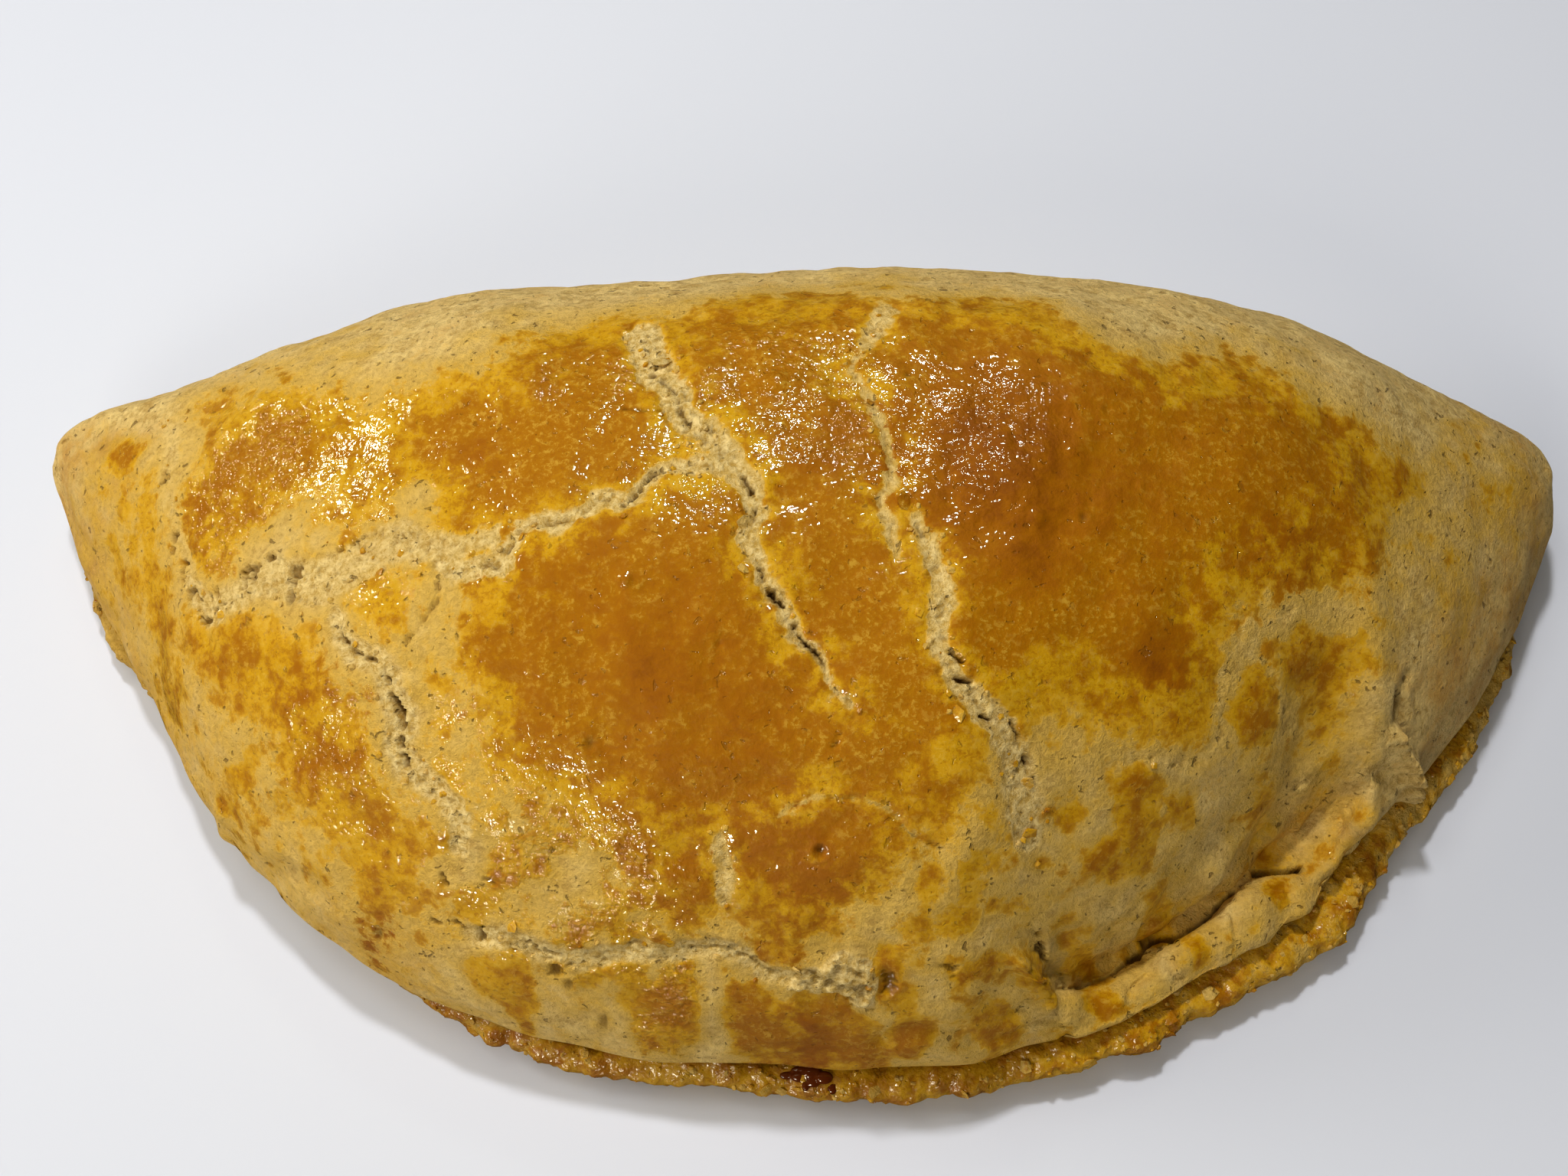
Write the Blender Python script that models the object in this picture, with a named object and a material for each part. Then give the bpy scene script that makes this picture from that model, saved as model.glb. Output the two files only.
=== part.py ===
"""A half-moon meat pie: one round of shortcrust folded over its filling and sealed along the curved
front. +X runs along the pie, +Y points to the fold at the back, +Z is up, and the origin is the middle
of its footprint on the table. Sizes are in millimetres and become metres where the mesh is made."""

import bmesh
import bpy
import numpy as np

MM = 0.001

# Driving sizes
DOUGH = 3.2  # thickness of the baked bottom sheet where it shows as a lip
LIP_LIFT = 0.9  # the lip's cut edge curls up off the table
BELLY_HEIGHT = 7.0  # where the sides of the dome bulge furthest, at the front
FOLD_HEIGHT = 10.0  # the same at the fold, which is rounder
ROLL_WIDTH = 5.6  # the pressed roll of dough between the dome and the lip, at the right
ROLL_RISE = 1.6  # how far the roll swells above its outer edge
LEDGE_DROP = 0.4  # how far it sinks again where the dome springs from it

# The mesh
HALF_STATIONS = 84  # along the front, and again along the back
DOME_RINGS = 17
ROLL_RINGS = 5  # the first of the dome's rings, which cross the roll

# The widest outline of the dome, seen from above, from the left tip along the front to the right tip
FRONT = [(-72.4, 20.9), (-70.1, 14.9), (-67.2, 8.9), (-63.4, 2.7), (-59.6, -3.5), (-55.8, -9.7),
         (-51.4, -15.9), (-46.4, -21.3), (-40.4, -26.5), (-32.8, -30.9), (-23.8, -34.1), (-11.8, -36.3),
         (0.2, -37.0), (10.2, -36.8), (19.2, -35.5), (27.4, -33.0), (33.8, -29.8), (40.0, -26.1),
         (45.4, -22.1), (49.8, -17.5), (53.8, -12.9), (57.8, -8.9), (61.7, -4.5), (65.4, 0.9),
         (68.2, 6.1), (71.2, 12.3)]
# and back again along the fold
BACK = [(72.4, 18.1), (71.5, 22.1), (68.0, 25.1), (61.2, 28.4), (52.2, 32.3), (44.2, 35.3), (35.2, 36.9),
        (26.2, 37.5), (17.2, 38.3), (8.2, 38.7), (0.2, 38.3), (-9.3, 37.6), (-17.8, 37.0), (-26.8, 37.1),
        (-35.8, 36.2), (-44.3, 33.2), (-52.8, 30.5), (-61.8, 27.9), (-68.8, 25.7), (-71.8, 23.5)]

# The ridge of the dome, from left to right: where it runs, and how high it stands
RIDGE_X = [-70.6, -68.0, -62.0, -50.0, -35.0, -18.0, 0.0, 18.0, 35.0, 50.0, 62.0, 68.0, 70.6]
RIDGE_Y = [22.1, 21.7, 20.1, 16.3, 11.9, 8.9, 7.9, 8.4, 10.9, 14.3, 17.1, 18.3, 18.7]
RIDGE_Z = [12.4, 14.8, 18.6, 25.2, 31.8, 36.4, 38.0, 37.6, 33.8, 27.0, 19.4, 15.4, 13.0]
RIDGE_REACH = 0.975  # it ends just short of the tips

# How far the lip of the bottom sheet reaches past the dome, along the front: it is tucked under at the left
LIP_X = [-72.8, -70.3, -66.3, -62.8, -59.8, -47.8, -37.8, -31.8, -26.0, -20.0, -14.0, -6.0, 0.0, 8.0, 14.0,
         20.0, 28.0, 34.0, 40.0, 46.0, 52.0, 58.0, 63.0, 67.2, 72.2]
LIP_REACH = [-2.0, 0.2, 1.0, 0.5, -1.3, -2.0, -1.2, -0.1, 0.7, 1.2, 0.7, 0.9, 1.6, 1.7, 1.6,
             1.6, 2.2, 2.1, 2.8, 3.5, 2.6, 2.0, 1.5, 0.9, -1.6]

# Lumps that the filling pushes up through the crust: x, y, radius and height
LUMPS = [(-47, 17, 11, 0.9), (-30, 18, 12, 1.0), (-14, -3, 15, 1.0), (8, 21, 10, 0.9), (23, 15, 11, 1.3),
         (40, 7, 14, 0.9), (10, -17, 11, 0.8), (-34, -7, 12, 0.8), (48, 19, 11, 0.6), (30, -9, 10, 0.6)]

# Creases pressed into the crust when it was sealed: points from above, depth and half width
CREASES = [
    ([(45.2, -20.6), (43.8, -17.1), (43.2, -14.1), (42.6, -10.6)], 1.2, 1.9),
    ([(45.2, -20.6), (48.7, -14.6), (52.2, -11.1)], 0.9, 2.0),
]


def dense_loop(points, per_span=16):
    """A closed Catmull-Rom curve through the points, as many short steps."""
    around = np.array(points, float)
    before, after = np.roll(around, 1, axis=0), np.roll(around, -1, axis=0)
    beyond = np.roll(around, -2, axis=0)
    steps = []
    for t in np.arange(per_span) / per_span:
        steps.append(0.5 * (2 * around + (after - before) * t
                            + (2 * before - 5 * around + 4 * after - beyond) * t**2
                            + (3 * around - before - 3 * after + beyond) * t**3))
    return np.stack(steps, axis=1).reshape(-1, 2)


def evenly(path, count):
    """The path's points moved to even distances along it: count of them, without its last."""
    lengths = np.linalg.norm(np.diff(path, axis=0), axis=1)
    along = np.concatenate([[0.0], np.cumsum(lengths)])
    wanted = np.linspace(0.0, along[-1], count, endpoint=False)
    return np.stack([np.interp(wanted, along, path[:, k]) for k in (0, 1)], axis=1)


def outline():
    """Stations round the dome's widest outline, anticlockwise from the left tip, and their outward normals."""
    per_span = 16
    loop = dense_loop(FRONT + BACK, per_span)
    tip = (len(FRONT)) * per_span
    front, back = loop[: tip + 1], np.vstack([loop[tip:], loop[:1]])
    around = np.vstack([evenly(front, HALF_STATIONS), evenly(back, HALF_STATIONS)])
    along = np.roll(around, -1, axis=0) - np.roll(around, 1, axis=0)
    normals = np.stack([along[:, 1], -along[:, 0]], axis=1)
    return around, normals / np.linalg.norm(normals, axis=1, keepdims=True)


def ridge(around):
    """For each station, the point on the ridge that it slopes up to. Each station of the front meets one
    of the back there, midway between the two along the pie."""
    partner = around[-np.arange(2 * HALF_STATIONS)]
    x = RIDGE_REACH * 0.5 * (around[:, 0] + partner[:, 0])
    return np.stack([x, smooth(x, RIDGE_X, RIDGE_Y), smooth(x, RIDGE_X, RIDGE_Z)], axis=1)


def smooth(x, xs, ys):
    """A natural cubic through the points (xs, ys)."""
    xs, ys = np.array(xs, float), np.array(ys, float)
    gaps, count = np.diff(xs), len(xs)
    system, right = np.eye(count), np.zeros(count)
    for k in range(1, count - 1):
        system[k, k - 1 : k + 2] = gaps[k - 1], 2 * (gaps[k - 1] + gaps[k]), gaps[k]
        right[k] = 6 * ((ys[k + 1] - ys[k]) / gaps[k] - (ys[k] - ys[k - 1]) / gaps[k - 1])
    bend = np.linalg.solve(system, right)
    k = np.clip(np.searchsorted(xs, x) - 1, 0, count - 2)
    left, rest = x - xs[k], xs[k + 1] - x
    gap = gaps[k]
    return ((bend[k] * rest**3 + bend[k + 1] * left**3) / (6 * gap)
            + (ys[k] / gap - bend[k] * gap / 6) * rest + (ys[k + 1] / gap - bend[k + 1] * gap / 6) * left)


def ramp(x, low, high):
    """0 below low, 1 above high, and an even curve between."""
    t = np.clip((x - low) / (high - low), 0.0, 1.0)
    return t * t * (3 - 2 * t)


def front_share(around):
    """1 along the sealed front, 0 along the fold, for each station."""
    index = np.arange(2 * HALF_STATIONS)
    from_left, from_right = index, HALF_STATIONS - index
    share = ramp(from_left, -3, 3) * ramp(from_right, -3, 3)
    wrapped = ramp(2 * HALF_STATIONS - index, 3, -3)
    return np.maximum(share, wrapped * (index > HALF_STATIONS))


def rim_rings(around, normals, sealed):
    """The rings from the table up to the dome's widest line: the lip at the front, the fold's foot behind."""
    reach = np.where(sealed > 0, np.interp(around[:, 0], LIP_X, LIP_REACH), 0.0)
    groove = np.minimum(-1.4, reach - 2.4)
    top = LIP_LIFT + DOUGH
    lip = [(reach - 3.4, 0.0), (reach - 1.3, 0.35), (reach - 0.1, LIP_LIFT + 0.5), (reach, LIP_LIFT + 0.5 * DOUGH),
           (reach - 0.5, top - 0.5), (reach - 1.6, top), (groove, top - 0.3), (groove + 0.9, BELLY_HEIGHT - 2.2),
           (-0.1 + 0 * reach, BELLY_HEIGHT - 0.9)]
    fold = [(-6.2, 0.0), (-4.1, 0.5), (-2.8, 1.5), (-2.0, 2.6), (-1.4, 3.8), (-0.9, 5.0), (-0.5, 6.4),
            (-0.2, 7.9), (-0.05, 9.0)]
    rings = []
    for (lip_out, lip_up), (fold_out, fold_up) in zip(lip, fold):
        out = sealed * lip_out + (1 - sealed) * fold_out
        up = sealed * lip_up + (1 - sealed) * fold_up
        rings.append(np.column_stack([around + normals * out[:, None], up]))
    return rings


def springing(share, along):
    """How high the dome stands, as a share of its rise, at a share of the way out from the ridge. It is
    plump over the filling and leaner at the tips."""
    return (1 - share**2.25) ** (0.60 + 0.35 * ramp(np.abs(along), 46.0, 68.0))


def dome_rings(around, sealed):
    """The rings from the widest line up to the ridge, over the roll at the right of the front."""
    peak = ridge(around)
    belly = sealed * BELLY_HEIGHT + (1 - sealed) * FOLD_HEIGHT
    rise = peak[:, 2] - belly
    across = np.linalg.norm(around - peak[:, :2], axis=1)
    rolled = sealed * ramp(around[:, 0], 12.0, 27.0) * ramp(around[:, 0], 51.0, 45.5)
    foot = 1 - ROLL_WIDTH / np.maximum(across, 2 * ROLL_WIDTH)
    ledge = ROLL_RISE - LEDGE_DROP
    rings = []
    for k in range(DOME_RINGS):
        share = np.cos(0.5 * np.pi * k / (DOME_RINGS - 1)) ** 0.85
        up = rise * springing(share, peak[:, 0])
        if k <= ROLL_RINGS:
            over = k / ROLL_RINGS
            roll_share = 1 - (1 - foot) * over
            roll_up = ROLL_RISE * np.sin(0.5 * np.pi * min(1.0, 1.7 * over)) - LEDGE_DROP * ramp(over, 0.5, 1.0)
        else:
            turn = 0.5 * np.pi * (k - ROLL_RINGS) / (DOME_RINGS - 1 - ROLL_RINGS)
            roll_share = foot * np.cos(turn) ** 0.85
            roll_up = ledge + (rise - ledge) * springing(roll_share / foot, peak[:, 0])
        share = (1 - rolled) * share + rolled * roll_share
        up = belly + (1 - rolled) * up + rolled * roll_up
        plan = peak[:, :2] + (around - peak[:, :2]) * share[:, None]
        rings.append(np.column_stack([plan, up]))
    return rings


def away_from(path, places):
    """The distance from each place to a path, from above."""
    nearest = np.full(len(places), np.inf)
    for start, end in zip(np.array(path[:-1], float), np.array(path[1:], float)):
        run = end - start
        share = np.clip((places - start) @ run / (run @ run), 0.0, 1.0)
        nearest = np.minimum(nearest, np.linalg.norm(places - start - share[:, None] * run, axis=1))
    return nearest


def relief(ring):
    """How much the filling's lumps raise a ring's points, and how much the creases sink them."""
    plan = ring[:, :2]
    up = np.zeros(len(ring))
    for x, y, radius, height in LUMPS:
        up += height * np.exp(-((plan - (x, y)) ** 2).sum(axis=1) / (0.5 * radius**2))
    for path, depth, half_width in CREASES:
        up -= depth * np.exp(-((away_from(path, plan) / half_width) ** 2))
    return up * ramp(ring[:, 2], BELLY_HEIGHT, BELLY_HEIGHT + 4.0)


def crust_mesh():
    """The closed surface: a flat base, the rim, and the dome, ring by ring."""
    around, normals = outline()
    sealed = front_share(around)
    rims, domes = rim_rings(around, normals, sealed), dome_rings(around, sealed)
    middle = np.column_stack([ridge(around)[:, :2], np.zeros(2 * HALF_STATIONS)])
    for ring in domes:
        ring[:, 2] += relief(ring)
    rings = [middle, *rims, *domes]
    points = np.vstack(rings)[:, :2]
    centre = 0.5 * (points.min(axis=0) + points.max(axis=0))
    for ring in rings:
        ring[:, :2] -= centre
    made = bmesh.new()
    rows = [[made.verts.new(point * MM) for point in ring] for ring in rings]
    count = 2 * HALF_STATIONS
    for low, high in zip(rows[:-1], rows[1:]):
        for k in range(count):
            beside = (k + 1) % count
            made.faces.new([low[k], low[beside], high[beside], high[k]])
    bmesh.ops.remove_doubles(made, verts=made.verts, dist=0.02 * MM)
    bmesh.ops.recalc_face_normals(made, faces=made.faces)
    mesh = bpy.data.meshes.new("pastry")
    made.to_mesh(mesh)
    made.free()
    return mesh


def pastry_material():
    material = bpy.data.materials.new("baked pastry")
    material.use_nodes = True
    shader = material.node_tree.nodes["Principled BSDF"]
    shader.inputs["Base Color"].default_value = (0.46, 0.26, 0.05, 1.0)
    shader.inputs["Roughness"].default_value = 0.42
    shader.inputs["Metallic"].default_value = 0.0
    return material


def clear_scene():
    for old in list(bpy.data.objects):
        bpy.data.objects.remove(old, do_unlink=True)


clear_scene()
pastry = bpy.data.objects.new("pastry", crust_mesh())
bpy.context.scene.collection.objects.link(pastry)
pastry.data.materials.append(pastry_material())
pastry.data.shade_smooth()
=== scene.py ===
# %% [markdown]
# # A half-moon meat pie
# The pie is one round of shortcrust, folded over its filling and sealed along the curved front. In the
# oven the egg glaze browned to amber, and the dough under it rose, so that the glazed skin tore into
# plates with pale, porous dough between them. The solid pie is already there as a fixed frame. It is
# loaded first, and everything that follows is made around it, in the same place and size.

# %% Load the frame
import math

import bmesh
import bpy
import numpy as np
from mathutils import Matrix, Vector, kdtree
from mathutils.bvhtree import BVHTree


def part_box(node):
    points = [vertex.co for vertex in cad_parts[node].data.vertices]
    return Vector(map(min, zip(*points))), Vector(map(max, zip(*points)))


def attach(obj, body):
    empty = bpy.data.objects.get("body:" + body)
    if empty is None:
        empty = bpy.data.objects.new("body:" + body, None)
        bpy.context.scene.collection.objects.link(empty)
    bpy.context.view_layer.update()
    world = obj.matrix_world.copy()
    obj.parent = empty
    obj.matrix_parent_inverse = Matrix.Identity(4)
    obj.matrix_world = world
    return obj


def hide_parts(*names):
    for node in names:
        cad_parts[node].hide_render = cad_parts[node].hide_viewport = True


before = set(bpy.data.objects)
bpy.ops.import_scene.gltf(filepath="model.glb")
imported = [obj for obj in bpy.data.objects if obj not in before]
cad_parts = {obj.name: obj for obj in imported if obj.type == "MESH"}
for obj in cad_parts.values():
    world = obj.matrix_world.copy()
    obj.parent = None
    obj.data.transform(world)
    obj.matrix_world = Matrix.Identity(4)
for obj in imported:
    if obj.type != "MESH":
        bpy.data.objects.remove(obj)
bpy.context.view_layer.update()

MM = 0.001
pie_low, pie_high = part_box("pastry")
print("the pie is", [round(side / MM, 1) for side in (pie_high - pie_low)], "mm")

# %% [markdown]
# ## The form of the pie
# Seen from above the pie is a half moon: a long front curve where it is sealed, and a flatter back where
# the dough is folded. The dome rises from that outline to a ridge that runs from tip to tip. So the form
# is worked out from the outline, the ridge, and a profile between the two, all in millimetres. The same
# form made the frame, and here it is worked out again on a net that is fine enough for torn dough.

# %% The outline and the ridge
FRONT = [(-72.4, 20.9), (-70.1, 14.9), (-67.2, 8.9), (-63.4, 2.7), (-59.6, -3.5), (-55.8, -9.7),
         (-51.4, -15.9), (-46.4, -21.3), (-40.4, -26.5), (-32.8, -30.9), (-23.8, -34.1), (-11.8, -36.3),
         (0.2, -37), (10.2, -36.8), (19.2, -35.5), (27.4, -33), (33.8, -29.8), (40, -26.1), (45.4, -22.1),
         (49.8, -17.5), (53.8, -12.9), (57.8, -8.9), (61.7, -4.5), (65.4, 0.9), (68.2, 6.1), (71.2, 12.3)]
BACK = [(72.4, 18.1), (71.5, 22.1), (68, 25.1), (61.2, 28.4), (52.2, 32.3), (44.2, 35.3), (35.2, 36.9),
        (26.2, 37.5), (17.2, 38.3), (8.2, 38.7), (0.2, 38.3), (-9.3, 37.6), (-17.8, 37), (-26.8, 37.1),
        (-35.8, 36.2), (-44.3, 33.2), (-52.8, 30.5), (-61.8, 27.9), (-68.8, 25.7), (-71.8, 23.5)]
RIDGE_X = [-70.6, -68, -62, -50, -35, -18, 0, 18, 35, 50, 62, 68, 70.6]
RIDGE_Y = [22.1, 21.7, 20.1, 16.3, 11.9, 8.9, 7.9, 8.4, 10.9, 14.3, 17.1, 18.3, 18.7]
RIDGE_Z = [12.4, 14.8, 18.6, 25.2, 31.8, 36.4, 38, 37.6, 33.8, 27, 19.4, 15.4, 13]
RIDGE_REACH = 0.975


def ramp(x, low, high):
    """0 below low, 1 above high, and an even curve between."""
    t = np.clip((x - low) / (high - low), 0.0, 1.0)
    return t * t * (3 - 2 * t)


def smooth(x, xs, ys):
    """A natural cubic through the points (xs, ys)."""
    xs, ys = np.array(xs, float), np.array(ys, float)
    gaps, count = np.diff(xs), len(xs)
    system, right = np.eye(count), np.zeros(count)
    for k in range(1, count - 1):
        system[k, k - 1 : k + 2] = gaps[k - 1], 2 * (gaps[k - 1] + gaps[k]), gaps[k]
        right[k] = 6 * ((ys[k + 1] - ys[k]) / gaps[k] - (ys[k] - ys[k - 1]) / gaps[k - 1])
    bend = np.linalg.solve(system, right)
    k = np.clip(np.searchsorted(xs, x) - 1, 0, count - 2)
    left, rest, gap = x - xs[k], xs[k + 1] - x, gaps[k]
    return ((bend[k] * rest**3 + bend[k + 1] * left**3) / (6 * gap)
            + (ys[k] / gap - bend[k] * gap / 6) * rest + (ys[k + 1] / gap - bend[k + 1] * gap / 6) * left)


def span(before, start, end, after, t):
    """A share t of the way from start to end, on a Catmull-Rom curve."""
    return 0.5 * (2 * start + (end - before) * t + (2 * before - 5 * start + 4 * end - after) * t**2
                  + (3 * start - before - 3 * end + after) * t**3)


def dense_loop(points, per_span=16):
    """A closed curve through the points, as many short steps."""
    around = np.array(points, float)
    before, after, beyond = (np.roll(around, shift, axis=0) for shift in (1, -1, -2))
    steps = [span(before, around, after, beyond, t) for t in np.arange(per_span) / per_span]
    return np.stack(steps, axis=1).reshape(-1, *around.shape[1:])


def evenly(path, count):
    """The path's points moved to even distances along it: count of them, without its last."""
    lengths = np.linalg.norm(np.diff(path, axis=0), axis=1)
    along = np.concatenate([[0.0], np.cumsum(lengths)])
    wanted = np.linspace(0.0, along[-1], count, endpoint=False)
    return np.stack([np.interp(wanted, along, path[:, k]) for k in range(path.shape[1])], axis=1)


def outline(half):
    """Stations round the dome's widest outline, anticlockwise from the left tip, and their outward normals:
    half of them along the front and half along the fold."""
    loop = dense_loop(FRONT + BACK)
    tip = len(FRONT) * (len(loop) // len(FRONT + BACK))
    around = np.vstack([evenly(loop[: tip + 1], half), evenly(np.vstack([loop[tip:], loop[:1]]), half)])
    along = np.roll(around, -1, axis=0) - np.roll(around, 1, axis=0)
    normals = np.stack([along[:, 1], -along[:, 0]], axis=1)
    return around, normals / np.linalg.norm(normals, axis=1, keepdims=True)


def ridge(around):
    """For each station, the point on the ridge that it slopes up to, which one station of the front shares
    with one of the fold."""
    partner = around[-np.arange(len(around))]
    x = RIDGE_REACH * 0.5 * (around[:, 0] + partner[:, 0])
    return np.stack([x, smooth(x, RIDGE_X, RIDGE_Y), smooth(x, RIDGE_X, RIDGE_Z)], axis=1)


print("outline of", len(FRONT) + len(BACK), "points, ridge of", len(RIDGE_X))

# %% [markdown]
# The dome is plump over the filling and leaner at the tips. At the right of the front the maker pressed
# the edge down with a finger, which left a roll of dough between the dome and the lip, so there the
# profile first crosses the roll and then springs from the ledge behind it.

# %% The profile, from the foot over the widest line to the ridge
BELLY_HEIGHT = 7.0
FOLD_HEIGHT = 10.0
ROLL_WIDTH = [(18, 5), (30, 5.6), (43, 6.8)]  # along x
ROLL_RISE = 1.15
LEDGE_DROP = 0.9
ROLL_PART = 5 / 16  # the part of the dome's rings that cross the roll
SPREAD = 2.25  # how square the dome's shoulders are
FALL = 0.60  # how steeply it falls from them, and how much more so at the lean tips
TIP_FALL = 0.35
RING_POWER = 0.85  # the rings stand a little closer near the ridge
CAD_HALF = 84  # the frame's own stations along the front, which set how long the seal takes to fade

# Out from the widest line and up from the table, for the foot under the sealed front and under the fold
FRONT_FOOT = [(-6.2, 0), (-5.3, 0.25), (-4.6, 1.1), (-4, 2.1), (-3.5, 3), (-3.1, 3.7), (-2.3, 4.3),
              (-1.2, 4.9), (-0.35, 5.9), (0, BELLY_HEIGHT)]
FOLD_FOOT = [(-6.2, 0), (-4.1, 0.5), (-2.8, 1.5), (-2, 2.6), (-1.4, 3.8), (-0.9, 5), (-0.5, 6.4),
             (-0.2, 7.9), (-0.05, 9), (0, FOLD_HEIGHT)]


def front_share(count):
    """1 along the sealed front and 0 along the fold, for each of count stations."""
    index = np.arange(count) * 2 * CAD_HALF / count
    share = ramp(index, -3, 3) * ramp(CAD_HALF - index, -3, 3)
    wrapped = ramp(2 * CAD_HALF - index, 3, -3)
    return np.maximum(share, wrapped * (index > CAD_HALF))


def foot_rows(around, normals, sealed, steps):
    """Rows of points from the table up to just below the widest line."""
    at = np.arange(len(FRONT_FOOT))
    rows = []
    for place in np.linspace(0, len(FRONT_FOOT) - 1, steps, endpoint=False):
        (lip_out, lip_up), (fold_out, fold_up) = [
            (smooth(place, at, [p[0] for p in foot]), smooth(place, at, [p[1] for p in foot]))
            for foot in (FRONT_FOOT, FOLD_FOOT)]
        out = sealed * lip_out + (1 - sealed) * fold_out
        up = np.maximum(sealed * lip_up + (1 - sealed) * fold_up, 0.0)
        rows.append(np.column_stack([around + normals * out[:, None], up]))
    return rows


def springing(share, along):
    """How high the dome stands, as a share of its rise, at a share of the way out from the ridge."""
    return (1 - share**SPREAD) ** (FALL + TIP_FALL * ramp(np.abs(along), 46.0, 68.0))


def dome_rows(around, sealed, steps):
    """Rows of points from the widest line up to the ridge."""
    peak = ridge(around)
    belly = sealed * BELLY_HEIGHT + (1 - sealed) * FOLD_HEIGHT
    rise = peak[:, 2] - belly
    across = np.linalg.norm(around - peak[:, :2], axis=1)
    rolled = sealed * ramp(around[:, 0], 12.0, 27.0) * ramp(around[:, 0], 51.0, 45.5)
    roll_width = np.interp(around[:, 0], *zip(*ROLL_WIDTH))
    foot = 1 - roll_width / np.maximum(across, 2 * roll_width)
    ledge = ROLL_RISE - LEDGE_DROP
    rows = []
    for q in np.linspace(0, 1, steps + 1):
        share = max(0.0, math.cos(0.5 * math.pi * q)) ** RING_POWER
        up = rise * springing(share, peak[:, 0])
        if q <= ROLL_PART:
            over = q / ROLL_PART
            roll_share = 1 - (1 - foot) * over
            roll_up = ROLL_RISE * math.sin(0.5 * math.pi * min(1.0, 1.7 * over))
            roll_up -= LEDGE_DROP * ramp(over, 0.5, 1.0)
        else:
            turn = 0.5 * math.pi * (q - ROLL_PART) / (1 - ROLL_PART)
            roll_share = foot * max(0.0, math.cos(turn)) ** RING_POWER
            roll_up = ledge + (rise - ledge) * springing(roll_share / foot, peak[:, 0])
        share = (1 - rolled) * share + rolled * roll_share
        up = belly + (1 - rolled) * up + rolled * roll_up
        rows.append(np.column_stack([peak[:, :2] + (around - peak[:, :2]) * share[:, None], up]))
    return rows


print("the dome springs", BELLY_HEIGHT, "mm up at the seal, and", FOLD_HEIGHT, "mm up at the fold")

# %% Lumps of filling under the crust, and creases from sealing it
LUMPS = [  # x, y, radius and height
    (-47, 17, 11, 0.9), (-30, 18, 12, 1), (-14, -3, 15, 1), (8, 21, 10, 0.9), (23, 15, 11, 1.3),
    (40, 7, 14, 0.9), (10, -17, 11, 0.8), (-34, -7, 12, 0.8), (48, 19, 11, 0.6), (30, -9, 10, 0.6),
]
CREASES = [  # the line, its depth, and half its width
    ([(45.2, -20.6), (43.8, -17.1), (43.2, -14.1), (42.6, -10.6)], 1.2, 1.9),
    ([(45.2, -20.6), (48.7, -14.6), (52.2, -11.1)], 0.9, 2),
]


def away_from(path, places):
    """The distance from each place to a path, in the plane or in space."""
    nearest = np.full(len(places), np.inf)
    for start, end in zip(np.array(path[:-1], float), np.array(path[1:], float)):
        run = end - start
        share = np.clip((places - start) @ run / max(run @ run, 1e-12), 0.0, 1.0)
        nearest = np.minimum(nearest, np.linalg.norm(places - start - share[:, None] * run, axis=1))
    return nearest


def relief(points):
    """How much the filling's lumps raise the crust, and how much the creases sink it."""
    plan = points[:, :2]
    up = np.zeros(len(points))
    for x, y, radius, height in LUMPS:
        up += height * np.exp(-((plan - (x, y)) ** 2).sum(axis=1) / (0.5 * radius**2))
    for path, depth, half_width in CREASES:
        up -= depth * np.exp(-((away_from(path, plan) / half_width) ** 2))
    return up * ramp(points[:, 2], BELLY_HEIGHT, BELLY_HEIGHT + 4.0)


print(len(LUMPS), "lumps and", len(CREASES), "creases")

# %% [markdown]
# ## A net that is fine where the dough is torn
# Torn dough has detail of a fifth of a millimetre, and the smooth parts need far less. So the net of the
# cover is laid out three times finer than it is built: a cell keeps its one big face where the crust is
# whole, and is split into nine where a tear or a pit runs through it.

# %% Lay out the net
HALF_CELLS = 240  # cells along the front, and again along the fold
FOOT_CELLS = 14
DOME_CELLS = 96
SPLIT = 3

stations = 2 * HALF_CELLS * SPLIT
around, outward = outline(HALF_CELLS * SPLIT)
sealed = front_share(stations)
net = np.array(foot_rows(around, outward, sealed, FOOT_CELLS * SPLIT)
               + dome_rows(around, sealed, DOME_CELLS * SPLIT))
net[..., 2] += relief(net.reshape(-1, 3)).reshape(net.shape[:2])
to_frame = np.array([pie_high.x / MM - net[..., 0].max(), pie_high.y / MM - net[..., 1].max(), 0.0])
print("net of", net.shape[0], "rows and", net.shape[1], "stations, moved", to_frame.round(2), "mm")


def unit(vectors):
    """The vectors, each made one long."""
    return vectors / np.maximum(np.linalg.norm(vectors, axis=-1, keepdims=True), 1e-9)


net_out = unit(np.cross(np.roll(net, -1, axis=1) - np.roll(net, 1, axis=1), np.gradient(net, axis=0)))
net_out[-1] = unit(net_out[-2] + net_out[-2][-np.arange(stations)])  # both sides share the ridge

# %% [markdown]
# ## The tears
# Where the skin tore, pale dough shows in a band that is a little sunken and full of small holes, and
# along its middle runs a dark slit that opens and closes. Each tear is a list of points seen from above,
# and each point has two more numbers: half the width of the pale band, and half the width of the slit.
# The list is lifted onto the dome, because widths on a steep side have to be measured along the crust.

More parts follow.
